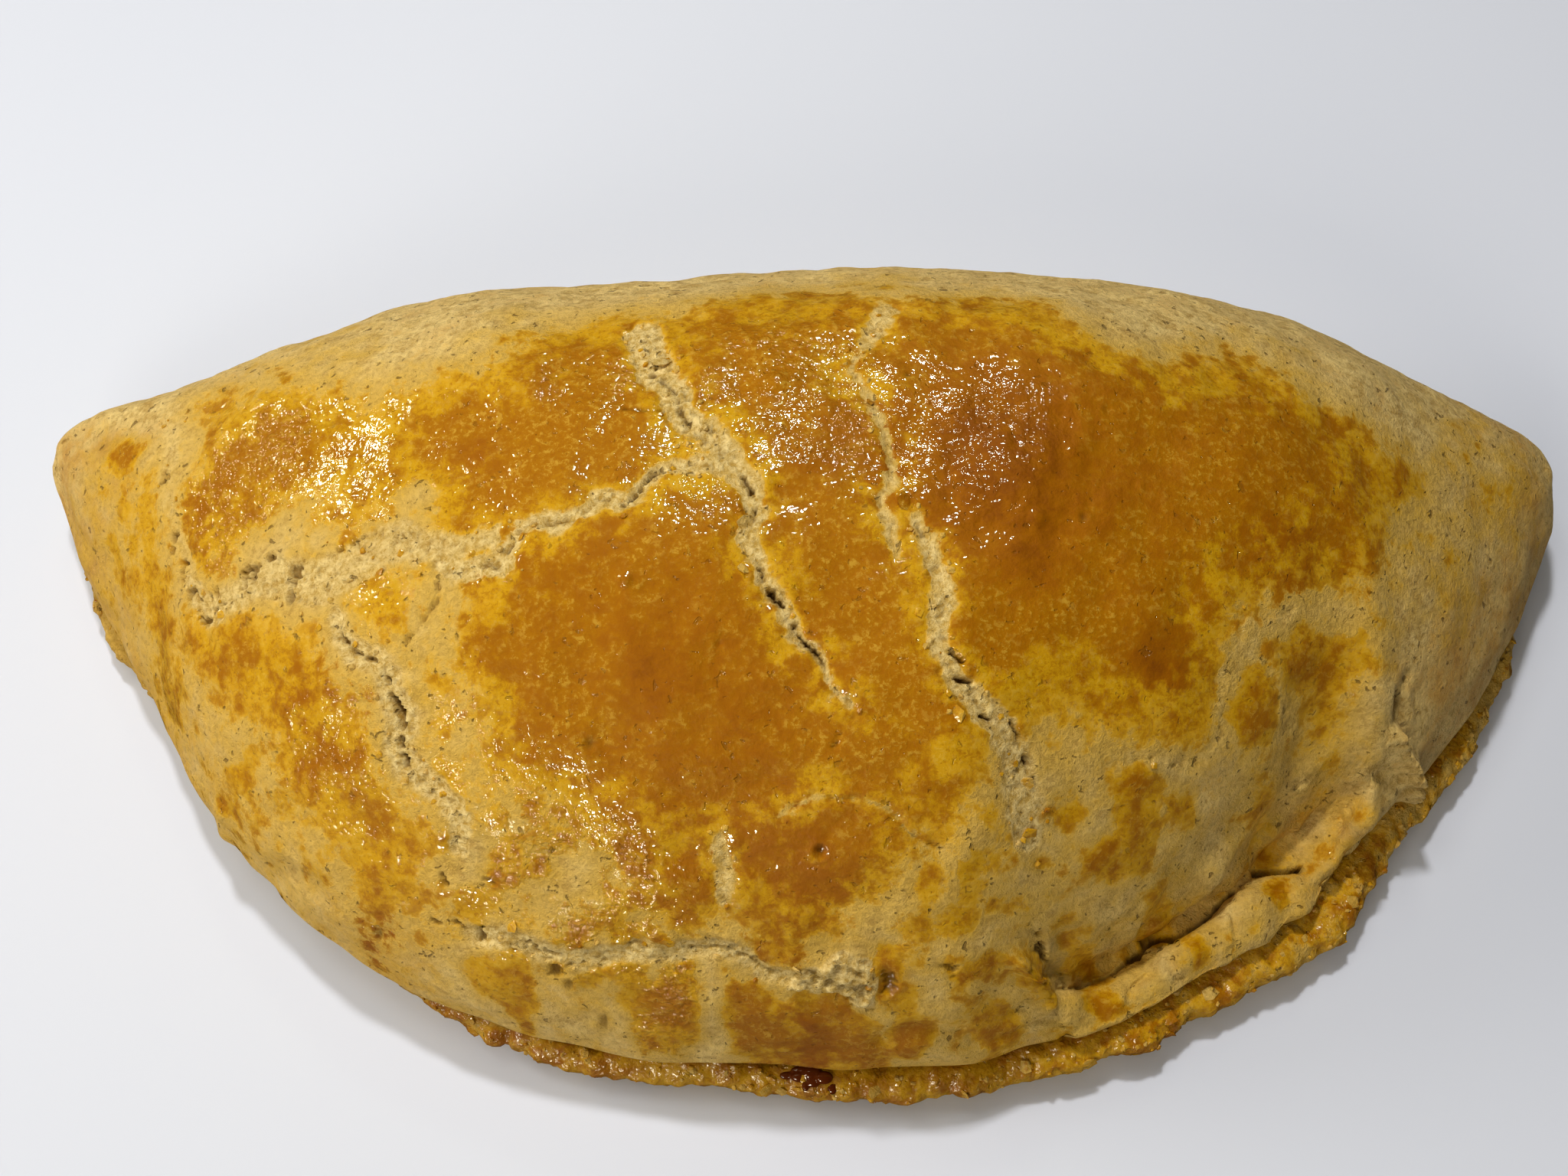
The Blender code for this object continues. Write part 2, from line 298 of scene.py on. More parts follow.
# %% Where the tears run
TEARS = {  # how far the band sinks, and the points
    "middle": (0.55, [
        (-13.8, 18.9, 1.9, 0), (-13.2, 16.8, 2, 0.1), (-12.5, 15.1, 1.9, 0.3), (-12.4, 13.8, 1.9, 0.35),
        (-11.5, 12.8, 1.8, 0.3), (-10.7, 11.8, 1.7, 0.25), (-9.8, 9, 1.5, 0.3), (-8.7, 8, 1.4, 0.25),
        (-7.5, 7.4, 1.3, 0.25), (-6.9, 5.8, 1.4, 0.25), (-6, 5.3, 1.4, 0.25), (-5.6, 4, 1.3, 0.3),
        (-4.4, 2.4, 1.2, 0.4), (-4, 0.6, 1.2, 0.4), (-3.8, -0.6, 1.1, 0.3), (-4.5, -2.5, 1.1, 0.25),
        (-3.7, -4.2, 1, 0.35), (-3.1, -6, 1, 0.5), (-2.4, -7.2, 0.9, 0.65), (-1.5, -8.1, 0.8, 0.5),
        (-0.5, -10.3, 0.7, 0.4), (0.9, -11.5, 0.6, 0.55), (1.6, -12.6, 0.5, 0.3), (1.9, -13.8, 0.5, 0.2),
        (2.5, -14.6, 0.4, 0.2), (3.9, -15.7, 0.3, 0.15), (4.1, -16.6, 0.2, 0.08)]),
    "left of the middle": (0.5, [
        (-6, 4.2, 1.3, 0.15), (-8.3, 4.4, 1.1, 0.15), (-11.5, 3.9, 0.9, 0.3), (-12.5, 3.3, 0.9, 0.45),
        (-13.1, 2.7, 0.8, 0.3), (-13.6, 1.6, 0.8, 0.35), (-14.5, 0.8, 0.9, 0.55), (-15.3, 1.1, 0.9, 0.4),
        (-16.6, 1.6, 0.9, 0.2), (-17.3, 0.7, 0.9, 0.2), (-18.5, 0.2, 0.9, 0.25), (-20.2, -0.4, 1, 0.25),
        (-21.6, -0.1, 1, 0.2), (-23.1, -0.6, 1, 0.25), (-23.8, -1.7, 1, 0.35), (-24.4, -3.5, 1, 0.35),
        (-26, -3.2, 1.1, 0.25), (-27.9, -3.5, 1.2, 0.2), (-29.6, -2.4, 1.4, 0.1)]),
    "far left": (0.3, [
        (-25.4, -0.9, 1.1, 0), (-28.6, -1.2, 1.6, 0.1), (-31.3, -0.8, 1.9, 0.15), (-33.6, 0.2, 2.1, 0.15),
        (-34.8, 0, 2.2, 0.12), (-36.4, -0.6, 2.3, 0.12), (-37.7, -1.2, 2.4, 0.12), (-40, -1.8, 2.5, 0.1),
        (-42.1, -1.4, 2.4, 0.15), (-43.4, -0.8, 2.3, 0.15), (-45.2, -0.2, 2.2, 0.15),
        (-46.8, -0.4, 1.9, 0.2), (-47.6, -0.9, 1.6, 0.2), (-49.7, -1.2, 1.5, 0.25),
        (-51.4, -1.2, 1.5, 0.25), (-52.8, 0.6, 1.4, 0.3), (-53.8, 2.6, 1, 0.2)]),
    "lower left": (0.6, [
        (-38.9, -5.5, 0.9, 0.15), (-38.1, -7.2, 1, 0.3), (-37.2, -8.4, 1.1, 0.3), (-34.9, -9.8, 1.3, 0.35),
        (-34.1, -10.9, 1.4, 0.45), (-33.8, -12.2, 1.5, 0.6), (-32.9, -13.7, 1.6, 0.75),
        (-32.8, -15.1, 1.6, 0.6), (-32.9, -16.3, 1.5, 0.45), (-32.4, -17.4, 1.5, 0.35),
        (-31.6, -18.2, 1.4, 0.35), (-30.3, -19.3, 1.3, 0.3), (-29, -20.2, 1.2, 0.25),
        (-27.8, -21.7, 1.1, 0.2), (-28.1, -23.8, 0.9, 0.12)]),
    "right of the middle": (0.3, [
        (7.2, 20.2, 1.3, 0), (5.5, 16.4, 1, 0), (4.2, 13.9, 0.7, 0.1), (4.5, 12.7, 0.6, 0.12),
        (5.9, 9.9, 0.5, 0.12), (6.9, 6.2, 0.5, 0.15), (7.1, 2.5, 0.5, 0.18), (6.2, 1.1, 0.5, 0.18),
        (7.1, -1.3, 0.5, 0.18), (7, -2.5, 0.5, 0.15), (7.8, -3.8, 0.4, 0.1)]),
    "lower right": (0.4, [
        (9.1, -1.2, 0.7, 0.25), (10.4, -3.6, 0.8, 0.45), (10.6, -4.5, 0.8, 0.4), (11, -5.9, 0.9, 0.2),
        (11.1, -7.6, 1, 0.15), (10.8, -9.5, 1, 0.15), (10.9, -11.8, 1.1, 0.15), (12.6, -14.1, 1.3, 0.2),
        (14.7, -16.2, 1.5, 0.2), (16.5, -17.7, 1.6, 0.15), (17.2, -19.7, 1.7, 0.1),
        (17.7, -21.9, 1.8, 0.05), (18.4, -23.4, 1.9, 0)]),
    "fine, at the front": (0.2, [
        (-1.8, -22.9, 0.3, 0.1), (1, -21.8, 0.35, 0.14), (2.8, -22, 0.35, 0.14), (4.5, -22, 0.35, 0.12),
        (7.1, -23, 0.35, 0.14), (8.6, -24.4, 0.35, 0.12), (11.7, -25.4, 0.3, 0.08)]),
    "short, at the front": (0.3, [
        (-6.6, -24.5, 0.7, 0.16), (-6.3, -26.5, 0.8, 0.16), (-6.4, -27.4, 0.7, 0.12),
        (-6.5, -28.6, 0.5, 0.1)]),
    "low, along the front": (0.45, [
        (-26.9, -29.1, 1.1, 0.15), (-23.3, -29.7, 1.1, 0.2), (-21.4, -30.4, 1.1, 0.35),
        (-18.5, -31, 1.1, 0.18), (-16.2, -31.2, 1, 0.14), (-13.3, -31, 1, 0.14), (-10.5, -31.3, 1, 0.12),
        (-7, -31.1, 0.9, 0.16), (-5, -31.6, 0.9, 0.2), (-1.8, -32.8, 0.8, 0.2), (1.6, -32.9, 0.8, 0.16)]),
    "right, below the big plate": (0.15, [
        (24.6, -17.9, 0.7, 0), (28.2, -16.9, 0.7, 0.08), (30.2, -17, 0.7, 0.1), (32.9, -16, 0.7, 0.05),
        (34.4, -13.5, 0.6, 0.1), (34.4, -10.7, 0.6, 0.08), (35, -9.4, 0.6, 0.12), (36, -6.9, 0.6, 0.1),
        (37.2, -5.8, 0.6, 0.1), (39.2, -5.3, 0.6, 0.12), (41.2, -3.9, 0.6, 0.1)]),
    "right, its branch": (0.12, [
        (37.6, -7.3, 0.5, 0.05), (39.3, -9.8, 0.5, 0.08), (40.4, -10.9, 0.5, 0.08),
        (41.8, -11.8, 0.5, 0.05)]),
    "up the left end": (0.15, [
        (-57.5, 20, 1.2, 0), (-57, 14, 1.2, 0.05), (-56, 9, 1.2, 0.08), (-54.6, 5, 1.1, 0.1),
        (-53.2, 2.2, 1, 0.15)]),
}
SLIT_DEPTH = 1.4  # of the widest slits
SAMPLE = 0.25  # the tears are read this finely along their length


def lifted(path):
    """A tear's points, at even steps along it, lifted onto the dome: x, y, z, and the two half widths."""
    points = np.array(path, float)
    padded = np.vstack([2 * points[0] - points[1], points, 2 * points[-1] - points[-2]])
    dense = [span(*padded[k : k + 4], t) for k in range(len(points) - 1) for t in np.arange(8) / 8]
    dense = np.array(dense + [points[-1]])
    length = np.linalg.norm(np.diff(dense[:, :2], axis=0), axis=1).sum()
    dense = evenly(dense, max(4, int(length / SAMPLE)))
    dense[:, 2:] = np.maximum(dense[:, 2:], 0.0)
    heights = []
    for x, y in dense[:, :2]:
        found = dome_tree.find_n((x, y, 0.0), 4)
        weights = [1 / (distance + 0.02) ** 2 for _, _, distance in found]
        heights.append(sum(w * dome_points[k][2] for w, (_, k, _) in zip(weights, found)) / sum(weights))
    return np.column_stack([dense[:, :2], heights, dense[:, 2:]])


dome_points = net[FOOT_CELLS * SPLIT :: SPLIT, ::SPLIT].reshape(-1, 3)
dome_tree = kdtree.KDTree(len(dome_points))
for number, point in enumerate(dome_points):
    dome_tree.insert((point[0], point[1], 0.0), number)
dome_tree.balance()
tears = {name: (sink, lifted(path)) for name, (sink, path) in TEARS.items()}
print(len(tears), "tears,", sum(len(path) for _, path in tears.values()), "samples")

# %% [markdown]
# Small things are listed in the same way: pits and blisters in the crust, each with its place, its
# radius, and how far it sinks (or, below nought, stands proud), and short slits with no pale band.

# %% Pits, blisters and short slits
PITS = [
    (1.3, -25.3, 0.55, 0.55), (-19.3, -32.5, 0.45, 0.4), (-16.6, -34.6, 0.45, 0.4), (4.8, -33.7, 0.5, 0.5),
    (6.8, -33, 0.9, 0.45), (-43, 12.9, 0.5, 0.35), (-41.2, 12.6, 1.1, -0.3), (-14.3, -5.8, 0.9, -0.35),
    (52, -8.3, 1.3, 0.5), (33.3, 23.7, 0.4, 0.3), (22.7, 0, 0.5, 0.25), (8.8, 12.8, 0.4, 0.25),
    (-36, -27.5, 0.5, 0.3), (-6.7, -10.9, 0.4, 0.2), (27.8, 3.4, 0.6, -0.2), (-50, 8, 0.9, -0.25),
    (16.4, 6.1, 1.3, -0.3), (12.8, 3.2, 1.1, -0.3), (18.9, -0.4, 1.2, -0.3), (-2.2, 12.1, 1.4, -0.25),
    (2.1, 9.4, 1.2, -0.25), (-17, -17.6, 0.6, 0.25), (25.3, 9.9, 0.5, 0.2), (-30.5, 5.1, 0.7, -0.2),
    (17.5, 4, 6.5, -0.7), (-1, 12.5, 5, -0.4),
]
HOLES = [  # where a tear gapes: x, y, half its length along x and along y
    (-47.2, 0.4, 0.8, 1.2), (-45.2, 1.5, 0.5, 0.3), (-43, -0.3, 0.6, 0.7), (-43.3, -2.2, 0.15, 0.8),
    (-38.6, 0.4, 0.6, 0.4), (-37.2, 0.9, 0.5, 0.3), (-50.7, -0.1, 0.6, 0.5), (-51.9, -1.8, 0.7, 0.5),
    (-53.6, 1, 0.7, 0.5), (-54.5, 3.5, 0.4, 0.6), (-55.7, 6.6, 0.4, 0.9), (-57.2, 13, 0.3, 0.6),
    (-35.2, 1.2, 0.5, 0.2), (-33, 0.6, 0.7, 0.2), (-20.2, -31.6, 0.8, 0.4), (-21.3, -31.4, 0.4, 0.4),
    (-22.8, -29.9, 0.6, 0.3), (-26.5, -29.2, 0.3, 0.3), (-21.2, -30.4, 0.3, 0.2), (-18.9, -31.3, 0.4, 0.2),
    (4.9, -34, 0.7, 0.3), (19.9, -29.6, 0.5, 0.5), (6.9, -33, 0.5, 0.7), (12, -32.2, 0.5, 0.2),
]
SLITS = [  # the line, half its width, and its depth
    ([(11.7, -11.7), (12.7, -12.5)], 0.2, 1), ([(12.1, -13.7), (13.4, -13.9)], 0.2, 1),
    ([(14.1, -16.2), (14.9, -16.5)], 0.18, 0.9), ([(16.6, -16.3), (17.3, -17.6)], 0.18, 0.9),
    ([(17.8, -18.6), (18.2, -19.6)], 0.18, 0.8), ([(2.8, -17.7), (2.3, -18.7)], 0.14, 0.4),
    ([(-14.8, 10.2), (-11.4, 9.5)], 0.14, 0.6), ([(-29.7, -25.1), (-29.2, -25.9)], 0.18, 0.6),
    ([(-25.9, -25.8), (-25.2, -26.2)], 0.18, 0.6), ([(-30.6, -27.7), (-29.8, -28)], 0.2, 0.6),
    ([(-28.6, -28.1), (-28, -28.6)], 0.18, 0.6), ([(19.7, -28.8), (20.3, -29.8)], 0.3, 1),
    ([(-29.9, -4.3), (-29.6, -5.3), (-30.1, -6.2), (-31.2, -7.4), (-32.5, -8.9)], 0.14, 0.5),
    ([(40.4, -19.5), (42, -19.25), (44.6, -19.3)], 0.32, 1.4),
    ([(28.6, -27.3), (30.8, -25.8), (33.2, -25.2), (35.9, -23.2), (38.2, -21.3)], 0.22, 0.7),
    ([(22.2, -31), (25.4, -29.3), (28.6, -27.3)], 0.16, 0.45),
]
CRUMBLED = [  # where the skin crumbled away, low on the front
    (-1.2, -33.3), (0, -32.5), (1.4, -32.4), (2.4, -31.7), (4.4, -31.5), (5.7, -32.1), (6.1, -33.2),
    (5.8, -34.4), (4.5, -34.5), (3.5, -33.8), (1.8, -33.6), (0.2, -33.7),
]


def path_distance(path, places, reach):
    """The distance in space from each place to a lifted path, endless past its reach, and which of the
    path's points is nearest."""
    low, high = path[:, :3].min(axis=0) - reach, path[:, :3].max(axis=0) + reach
    near = np.flatnonzero(((places > low) & (places < high)).all(axis=1))
    away, nearest = np.full(len(places), np.inf), np.zeros(len(places), int)
    for chunk in np.array_split(near, max(1, len(near) // 4000)):
        apart = np.linalg.norm(places[chunk, None, :] - path[None, :, :3], axis=2)
        nearest[chunk] = apart.argmin(axis=1)
        away[chunk] = apart.min(axis=1)
    return away, nearest


slits = [(lifted([(x, y, half, half) for x, y in path]), depth) for path, half, depth in SLITS]
print(len(PITS), "pits and blisters,", len(slits), "short slits")

# %% Folds and pinches from sealing the edge
FOLDS = [  # the line, how far it stands proud (or, below nought, sinks), and half its width
    ([(51.4, -12.9), (49.4, -14.4), (47.4, -15.9)], -0.7, 0.9),
    ([(49.6, -15.8), (48.2, -17.2), (47, -18.9)], 1.3, 1.1),
    ([(51.6, -10.4), (54.2, -11.6), (57.2, -12.9)], 1.8, 0.8),
    ([(50.8, -17), (52.2, -15.4), (53.8, -14.2)], -1.5, 0.9),
    ([(52.6, -6.4), (51.6, -8.6), (52.8, -10.6)], -0.5, 0.8),
    ([(17.6, -30.4), (19.2, -31.2), (20.8, -32.6)], 1.5, 0.9),
    ([(21.6, -31.2), (25.2, -29.2), (28.6, -27.3), (30.8, -25.8), (33.2, -25.2), (35.9, -23.2),
      (38.4, -21.1), (40.4, -19.6), (42.4, -19.3), (44.8, -19.4)], -0.55, 0.7),
    ([(22.4, -33), (27, -31.2), (32, -28.6), (36.4, -25.9), (40.4, -22.9), (44, -21.3)], 0.45, 1.6),
    ([(43.2, -14.1), (43.9, -16.4), (45.2, -19.8)], -0.5, 0.5),
    ([(46.6, -20.6), (48, -19.2), (49.8, -17.8)], -0.6, 0.7),
    ([(-52, -16), (-50.6, -15.2)], 0.7, 1.2),
    ([(-47.6, -20.6), (-44.6, -21.2), (-41.6, -23.4)], -0.4, 1.2),
    ([(6.6, -36), (10, -35.4), (14.6, -35.6)], -0.4, 0.9),
]
folds = [(lifted([(x, y, half, half) for x, y in path]), height, half) for path, height, half in FOLDS]
print(len(folds), "folds")

# %% [markdown]
# ## Build the cover
# The cells that a tear, a slit or a pit reaches are split. An unsplit cell beside a split one takes the
# extra points of their shared edge, so the net has no gaps. The ridge is one row of points that both
# sides of the dome use, and a flat base closes the cover underneath.

# %% Choose the cells to split
ROOM = 0.7  # how far past a tear the cells are split
WIDER_ROOM = 5.5  # and round the middle of the crumbled place
FOOT_TOP = 5.0  # the holes are only made above this height
PIT_TOP = 6.0  # and the net is split for pits only above this

rows_up = FOOT_CELLS + DOME_CELLS
middles = net[SPLIT // 2 :: SPLIT, SPLIT // 2 :: SPLIT][:rows_up].reshape(-1, 3)
across, along, up = middles.T
split_cell = np.zeros(len(middles), bool)
for _, path in tears.values():
    away, nearest = path_distance(path, middles, 4.0)
    split_cell |= away < path[nearest, 3] + ROOM
for path, _ in slits:
    away, nearest = path_distance(path, middles, 2.0)
    split_cell |= away < path[nearest, 4] + ROOM
for path, _, half_width in folds:
    split_cell |= path_distance(path, middles, 2.0)[0] < 0.6 * half_width
for x, y, wide, tall in HOLES:
    split_cell |= (np.hypot((across - x) / (wide + 0.6), (along - y) / (tall + 0.6)) < 1) & (up > FOOT_TOP)
for x, y, radius, _ in PITS:
    split_cell |= (np.hypot(across - x, along - y) < radius + 0.8) & (up > PIT_TOP)
to_crumbled = np.linalg.norm(middles[:, :2] - np.mean(CRUMBLED, axis=0), axis=1)
split_cell |= (to_crumbled < WIDER_ROOM) & (up > PIT_TOP)
split_cell = split_cell.reshape(rows_up, 2 * HALF_CELLS)
print("split", int(split_cell.sum()), "of", split_cell.size, "cells")


# %% Join the cells into faces
def net_index(row, station):
    """The number of a net point. On the ridge, the fold's side uses the front's points."""
    station %= stations
    if row == rows_up * SPLIT:
        station = min(station, stations - station)
    return row * stations + station


def cell_faces():
    """Faces of the whole net, as lists of net point numbers, anticlockwise from outside."""
    below = np.vstack([np.zeros((1, 2 * HALF_CELLS), bool), split_cell[:-1]])
    above = np.vstack([split_cell[1:], split_cell[-1][::-1][None]])
    left, right = np.roll(split_cell, 1, axis=1), np.roll(split_cell, -1, axis=1)
    sides = [(below, (0, 0), (0, 1)), (right, (0, SPLIT), (1, 0)),
             (above, (SPLIT, SPLIT), (0, -1)), (left, (SPLIT, 0), (-1, 0))]
    faces = []
    for row, cell in np.argwhere(~split_cell).tolist():
        face = []
        for neighbour_split, (up, on), (step_up, step_on) in sides:
            for k in range(SPLIT if neighbour_split[row, cell] else 1):
                face.append(net_index(row * SPLIT + up + k * step_up, cell * SPLIT + on + k * step_on))
        faces.append(face)
    for row, cell in np.argwhere(split_cell).tolist():
        for low in range(row * SPLIT, (row + 1) * SPLIT):
            for on in range(cell * SPLIT, (cell + 1) * SPLIT):
                faces.append([net_index(low, on), net_index(low, on + 1),
                              net_index(low + 1, on + 1), net_index(low + 1, on)])
    return faces


cover_faces = cell_faces()
used = np.unique(np.concatenate([np.array(face) for face in cover_faces]))
points = net.reshape(-1, 3)[used]
outwards = net_out.reshape(-1, 3)[used]
print(len(cover_faces), "faces on", len(used), "points in the cover's net")

# %% [markdown]
# ## Uneven by hand and by heat
# Nothing on a baked crust is smooth: it swells and sinks over the filling, and its skin puckers. Random
# hills of a few sizes give that. They are one soft noise, made from random slopes on a grid, with fixed
# seeds so that the pie is the same each time.

# %% Soft random hills
def clouds(places, size, seed):
    """Random hills and hollows of about that size in millimetres, mostly between -1 and 1."""
    random_slopes = np.random.default_rng(seed).normal(size=(32, 32, 32, 3)).astype(np.float32)
    random_slopes /= np.linalg.norm(random_slopes, axis=-1, keepdims=True)
    turned = places @ np.array([[0.83, 0.42, -0.36], [-0.52, 0.80, -0.29], [0.17, 0.43, 0.88]])
    scaled = turned / size + 500.0
    cell = np.floor(scaled).astype(int)
    inside = (scaled - cell).astype(np.float32)
    fade = inside**3 * (inside * (inside * 6 - 15) + 10)
    total = np.zeros(len(places), np.float32)
    for corner in np.ndindex(2, 2, 2):
        slope = random_slopes[tuple(((cell + corner) % 32).T)]
        weight = np.prod(np.where(corner, fade, 1 - fade), axis=1)
        total += weight * ((inside - np.array(corner, np.float32)) * slope).sum(axis=1)
    return 1.7 * total


def hills(places, *layers):
    """Random hills of several sizes, each given by its height, its size and its seed."""
    return sum(height * clouds(places, size, seed) for height, size, seed in layers)


def wandered(places, size, reach, seeds):
    """The places as seen from above, each moved a little way at random."""
    return places[:, :2] + reach * np.column_stack([clouds(places, size, seed) for seed in seeds])


def spot(plan, x, y, radius):
    """1 at a place, fading all round to a third at the radius."""
    return np.exp(-((plan - (x, y)) ** 2).sum(axis=1) / radius**2)


print("a few heights of 3 mm hills:", clouds(points[:4], 3.0, 0).round(2))

# %% [markdown]
# ## Where the glaze lies
# The egg glaze was brushed over the top and ran thin towards the edges. Where it lies it baked to amber,
# and the further in from its edge, the thicker and darker it is. So the glaze is a distance: millimetres
# inside the edge of the glazed plates, and below nought outside them. The big plates have ragged edges,
# the small patches low on the front have crisper ones, and every tear takes its band away.

# %% The glazed plates between the tears
PLATES = {
    "over the top": [
        (-55.5, 20.6), (-47, 19.9), (-43, 18.9), (-38, 17.4), (-33, 16.9), (-28, 17.4), (-25, 18.4),
        (-22, 20.9), (-18, 21.9), (-10, 22.4), (-5, 23.9), (0, 24.4), (5, 22.9), (7, 20.9), (10, 21.4),
        (15, 22.9), (20, 21.9), (23, 19.9), (26, 18.9), (30.8, 17.2), (33, 18.4), (38, 18.1), (41, 17.6),
        (45, 15.5), (48.5, 14.9), (52, 12.7), (56, 11.8), (55, 7.9), (53.6, 6.8), (51.5, 3.9), (50, 1.9),
        (47.5, -0.8), (43, -2.4), (38.4, -4), (36, -5.4), (35, -8), (34.6, -11), (34.3, -13.2), (33, -14.8),
        (31.2, -15.6), (29.7, -15.1), (27, -16.4), (24.6, -17), (22.7, -18.2), (21.6, -16.6), (20.7, -20),
        (19.2, -17), (15.5, -20), (13.6, -21.8), (13.4, -22.8), (11.6, -25), (9.3, -24.4), (8, -25.7),
        (7, -27.4), (5.3, -28.7), (3.6, -29.9), (2.8, -31), (0.2, -31.3), (-2, -32.1), (-3.3, -31.7),
        (-4.8, -29.8), (-7.1, -29.9), (-9.9, -30.2), (-11.5, -29.3), (-13.2, -28.1), (-16.2, -25.7),
        (-19.8, -23.9), (-25.8, -22), (-28.4, -16), (-28.8, -10), (-27.6, -6), (-28, -3.2), (-33, 1.2),
        (-38, 1.4), (-44, 3), (-50, 0.9), (-54.2, 2.2), (-55.2, 9), (-54.8, 15)],
    "left": [
        (-53.5, 0.6), (-50, -2.2), (-44, -2.6), (-40, -4.6), (-37, -9.2), (-35.4, -13), (-34.8, -17),
        (-32.6, -20), (-30.6, -23), (-31, -26.5), (-34.5, -27.5), (-37.4, -27.6), (-38.6, -22), (-43, -19),
        (-47, -13), (-51, -8), (-54.5, -3)],
    "between the tears": [
        (-39, -2.1), (-33, -2.3), (-31, -3.6), (-30.8, -5.6), (-32.3, -8.1), (-34.5, -9.1), (-37, -7.4),
        (-38.5, -4.6)],
    "right": [
        (38.9, -7.1), (42, -5.4), (46, -5), (48.5, -3.1), (49.3, -3.6), (49.2, -5.8), (47.4, -8.8),
        (47.2, -10.2), (46.3, -11.9), (42.1, -12.6), (42.3, -11.8), (44.6, -10.1), (44.4, -9), (40.1, -9.7),
        (39.5, -8.6)],
    "strip at the right": [
        (38.4, -15.3), (40.2, -14.7), (40.9, -15.7), (41.8, -17.3), (44, -19), (41.5, -19.3), (39.5, -18.1),
        (38, -16.6)],
    "left end": [
        (-60.6, 13.5), (-58.6, 14.6), (-57.6, 9), (-56, 3), (-55.6, -2), (-57, -5), (-59, 0), (-61, 6)],
}
print(len(PLATES), "glazed plates")

# %% Little glazed patches with crisp edges
SMALL_PATCHES = [
    [(-28.5, -30.4), (-26, -30.2), (-24.2, -30.6), (-22.6, -31.4), (-22.2, -32.6), (-23, -34.2),
     (-24.4, -33.8), (-25.4, -32.6), (-27, -31.6)],
    [(-20, -29.8), (-17.8, -30), (-18, -30.8), (-19.6, -31.5), (-20.3, -31)],
    [(-18.8, -32), (-16.8, -31.5), (-15.2, -32), (-13, -31.9), (-12.2, -32.6), (-14.4, -32.9),
     (-16.4, -32.8), (-18.2, -33)],
    [(-15.2, -32.9), (-13.6, -32.4), (-11.6, -32.4), (-9.6, -32.2), (-8.6, -33), (-8.4, -34),
     (-8.3, -35.2), (-9.4, -36.2), (-12, -36), (-13.4, -35.2), (-14.6, -34.2)],
    [(-15.6, -29), (-13.6, -29.3), (-11, -30), (-10, -30.5), (-12.2, -30.8), (-14.2, -30.6),
     (-15.6, -30.2)],
    [(-28.5, -26.6), (-26.5, -26.4), (-25.2, -27.2), (-26.6, -28.2), (-28.6, -28)],
    [(-6.2, -32.4), (-5, -33), (-3.4, -33.6), (-1, -33.8), (1.2, -33.9), (2.6, -33.6), (3.8, -34.4),
     (4.6, -35.2), (6.4, -35.8), (7.4, -36.6), (6, -37.6), (0, -37.8), (-4, -37.2), (-6, -36.4),
     (-6.2, -34.6)],
    [(6, -31), (8, -31.4), (7.8, -33.2), (9.4, -34), (10.6, -35.2), (10, -36.6), (7.4, -36.4),
     (7.6, -34.8), (6.4, -33.6), (6, -32.2)],
    [(11, -29.4), (12.4, -28.3), (13.8, -28), (13.9, -29.4), (13, -30.5), (11.2, -30.5)],
    [(12.2, -26.4), (13.4, -24.8), (14.4, -26.4), (13.8, -27.7), (12.2, -27.7)],
    [(14.4, -31.3), (16.5, -30.8), (16, -32.2), (14, -32.7), (12.4, -33.3), (11.8, -32.4), (13, -32)],
    [(15.5, -34), (18.2, -33.8), (17.8, -35.6), (15.6, -36.2), (14.4, -35)],
    [(17, -31.2), (18.6, -30.3), (20.6, -30.3), (21.2, -31.3), (20.3, -32.5), (18.8, -31.9)],
    [(8.9, -30.1), (10.7, -29.8), (10.8, -30.8), (9.2, -31.3)],
    [(34.8, -12.4), (36.6, -9.4), (38.6, -8.8), (39.8, -11.2), (39.2, -13.8), (36.8, -14.6)],
    [(25, -18.4), (27.4, -17.2), (29.6, -18.6), (30.2, -21), (28.6, -23.4), (26.6, -23.8), (25.2, -21.4)],
    [(22.4, -23.4), (24.6, -22.3), (26.4, -23.2), (25.6, -24.6), (23, -24.6)],
    [(20, -21.4), (21.6, -20.2), (22.9, -21.4), (21.6, -22.6)],
    [(28.9, -24.8), (30.6, -23.8), (32.5, -24.6), (31.6, -26.2), (29.8, -26.4)],
    [(22.2, -28), (24, -27.4), (25.6, -28.4), (24, -29.6), (22.4, -29.2)],
    [(-64.8, 16.6), (-62.6, 18.3), (-60.2, 17.2), (-61.4, 15.4), (-63.6, 15.6)],
    [(-53.4, -2.4), (-52, -2.3), (-51.2, -4), (-52.6, -4.9)],
    [(30.2, -19), (31.8, -18.4), (33.2, -19.6), (31.6, -20.4)],
    [(33, -27), (34.6, -26), (35.6, -27.2), (34.2, -28.4)],
    [(24.6, -31.6), (27.4, -30.4), (28, -31.8), (25.8, -33)],
    [(40.6, -21.4), (42.6, -20.6), (43.2, -21.8), (41.4, -23)],
]
print(len(SMALL_PATCHES), "small patches")

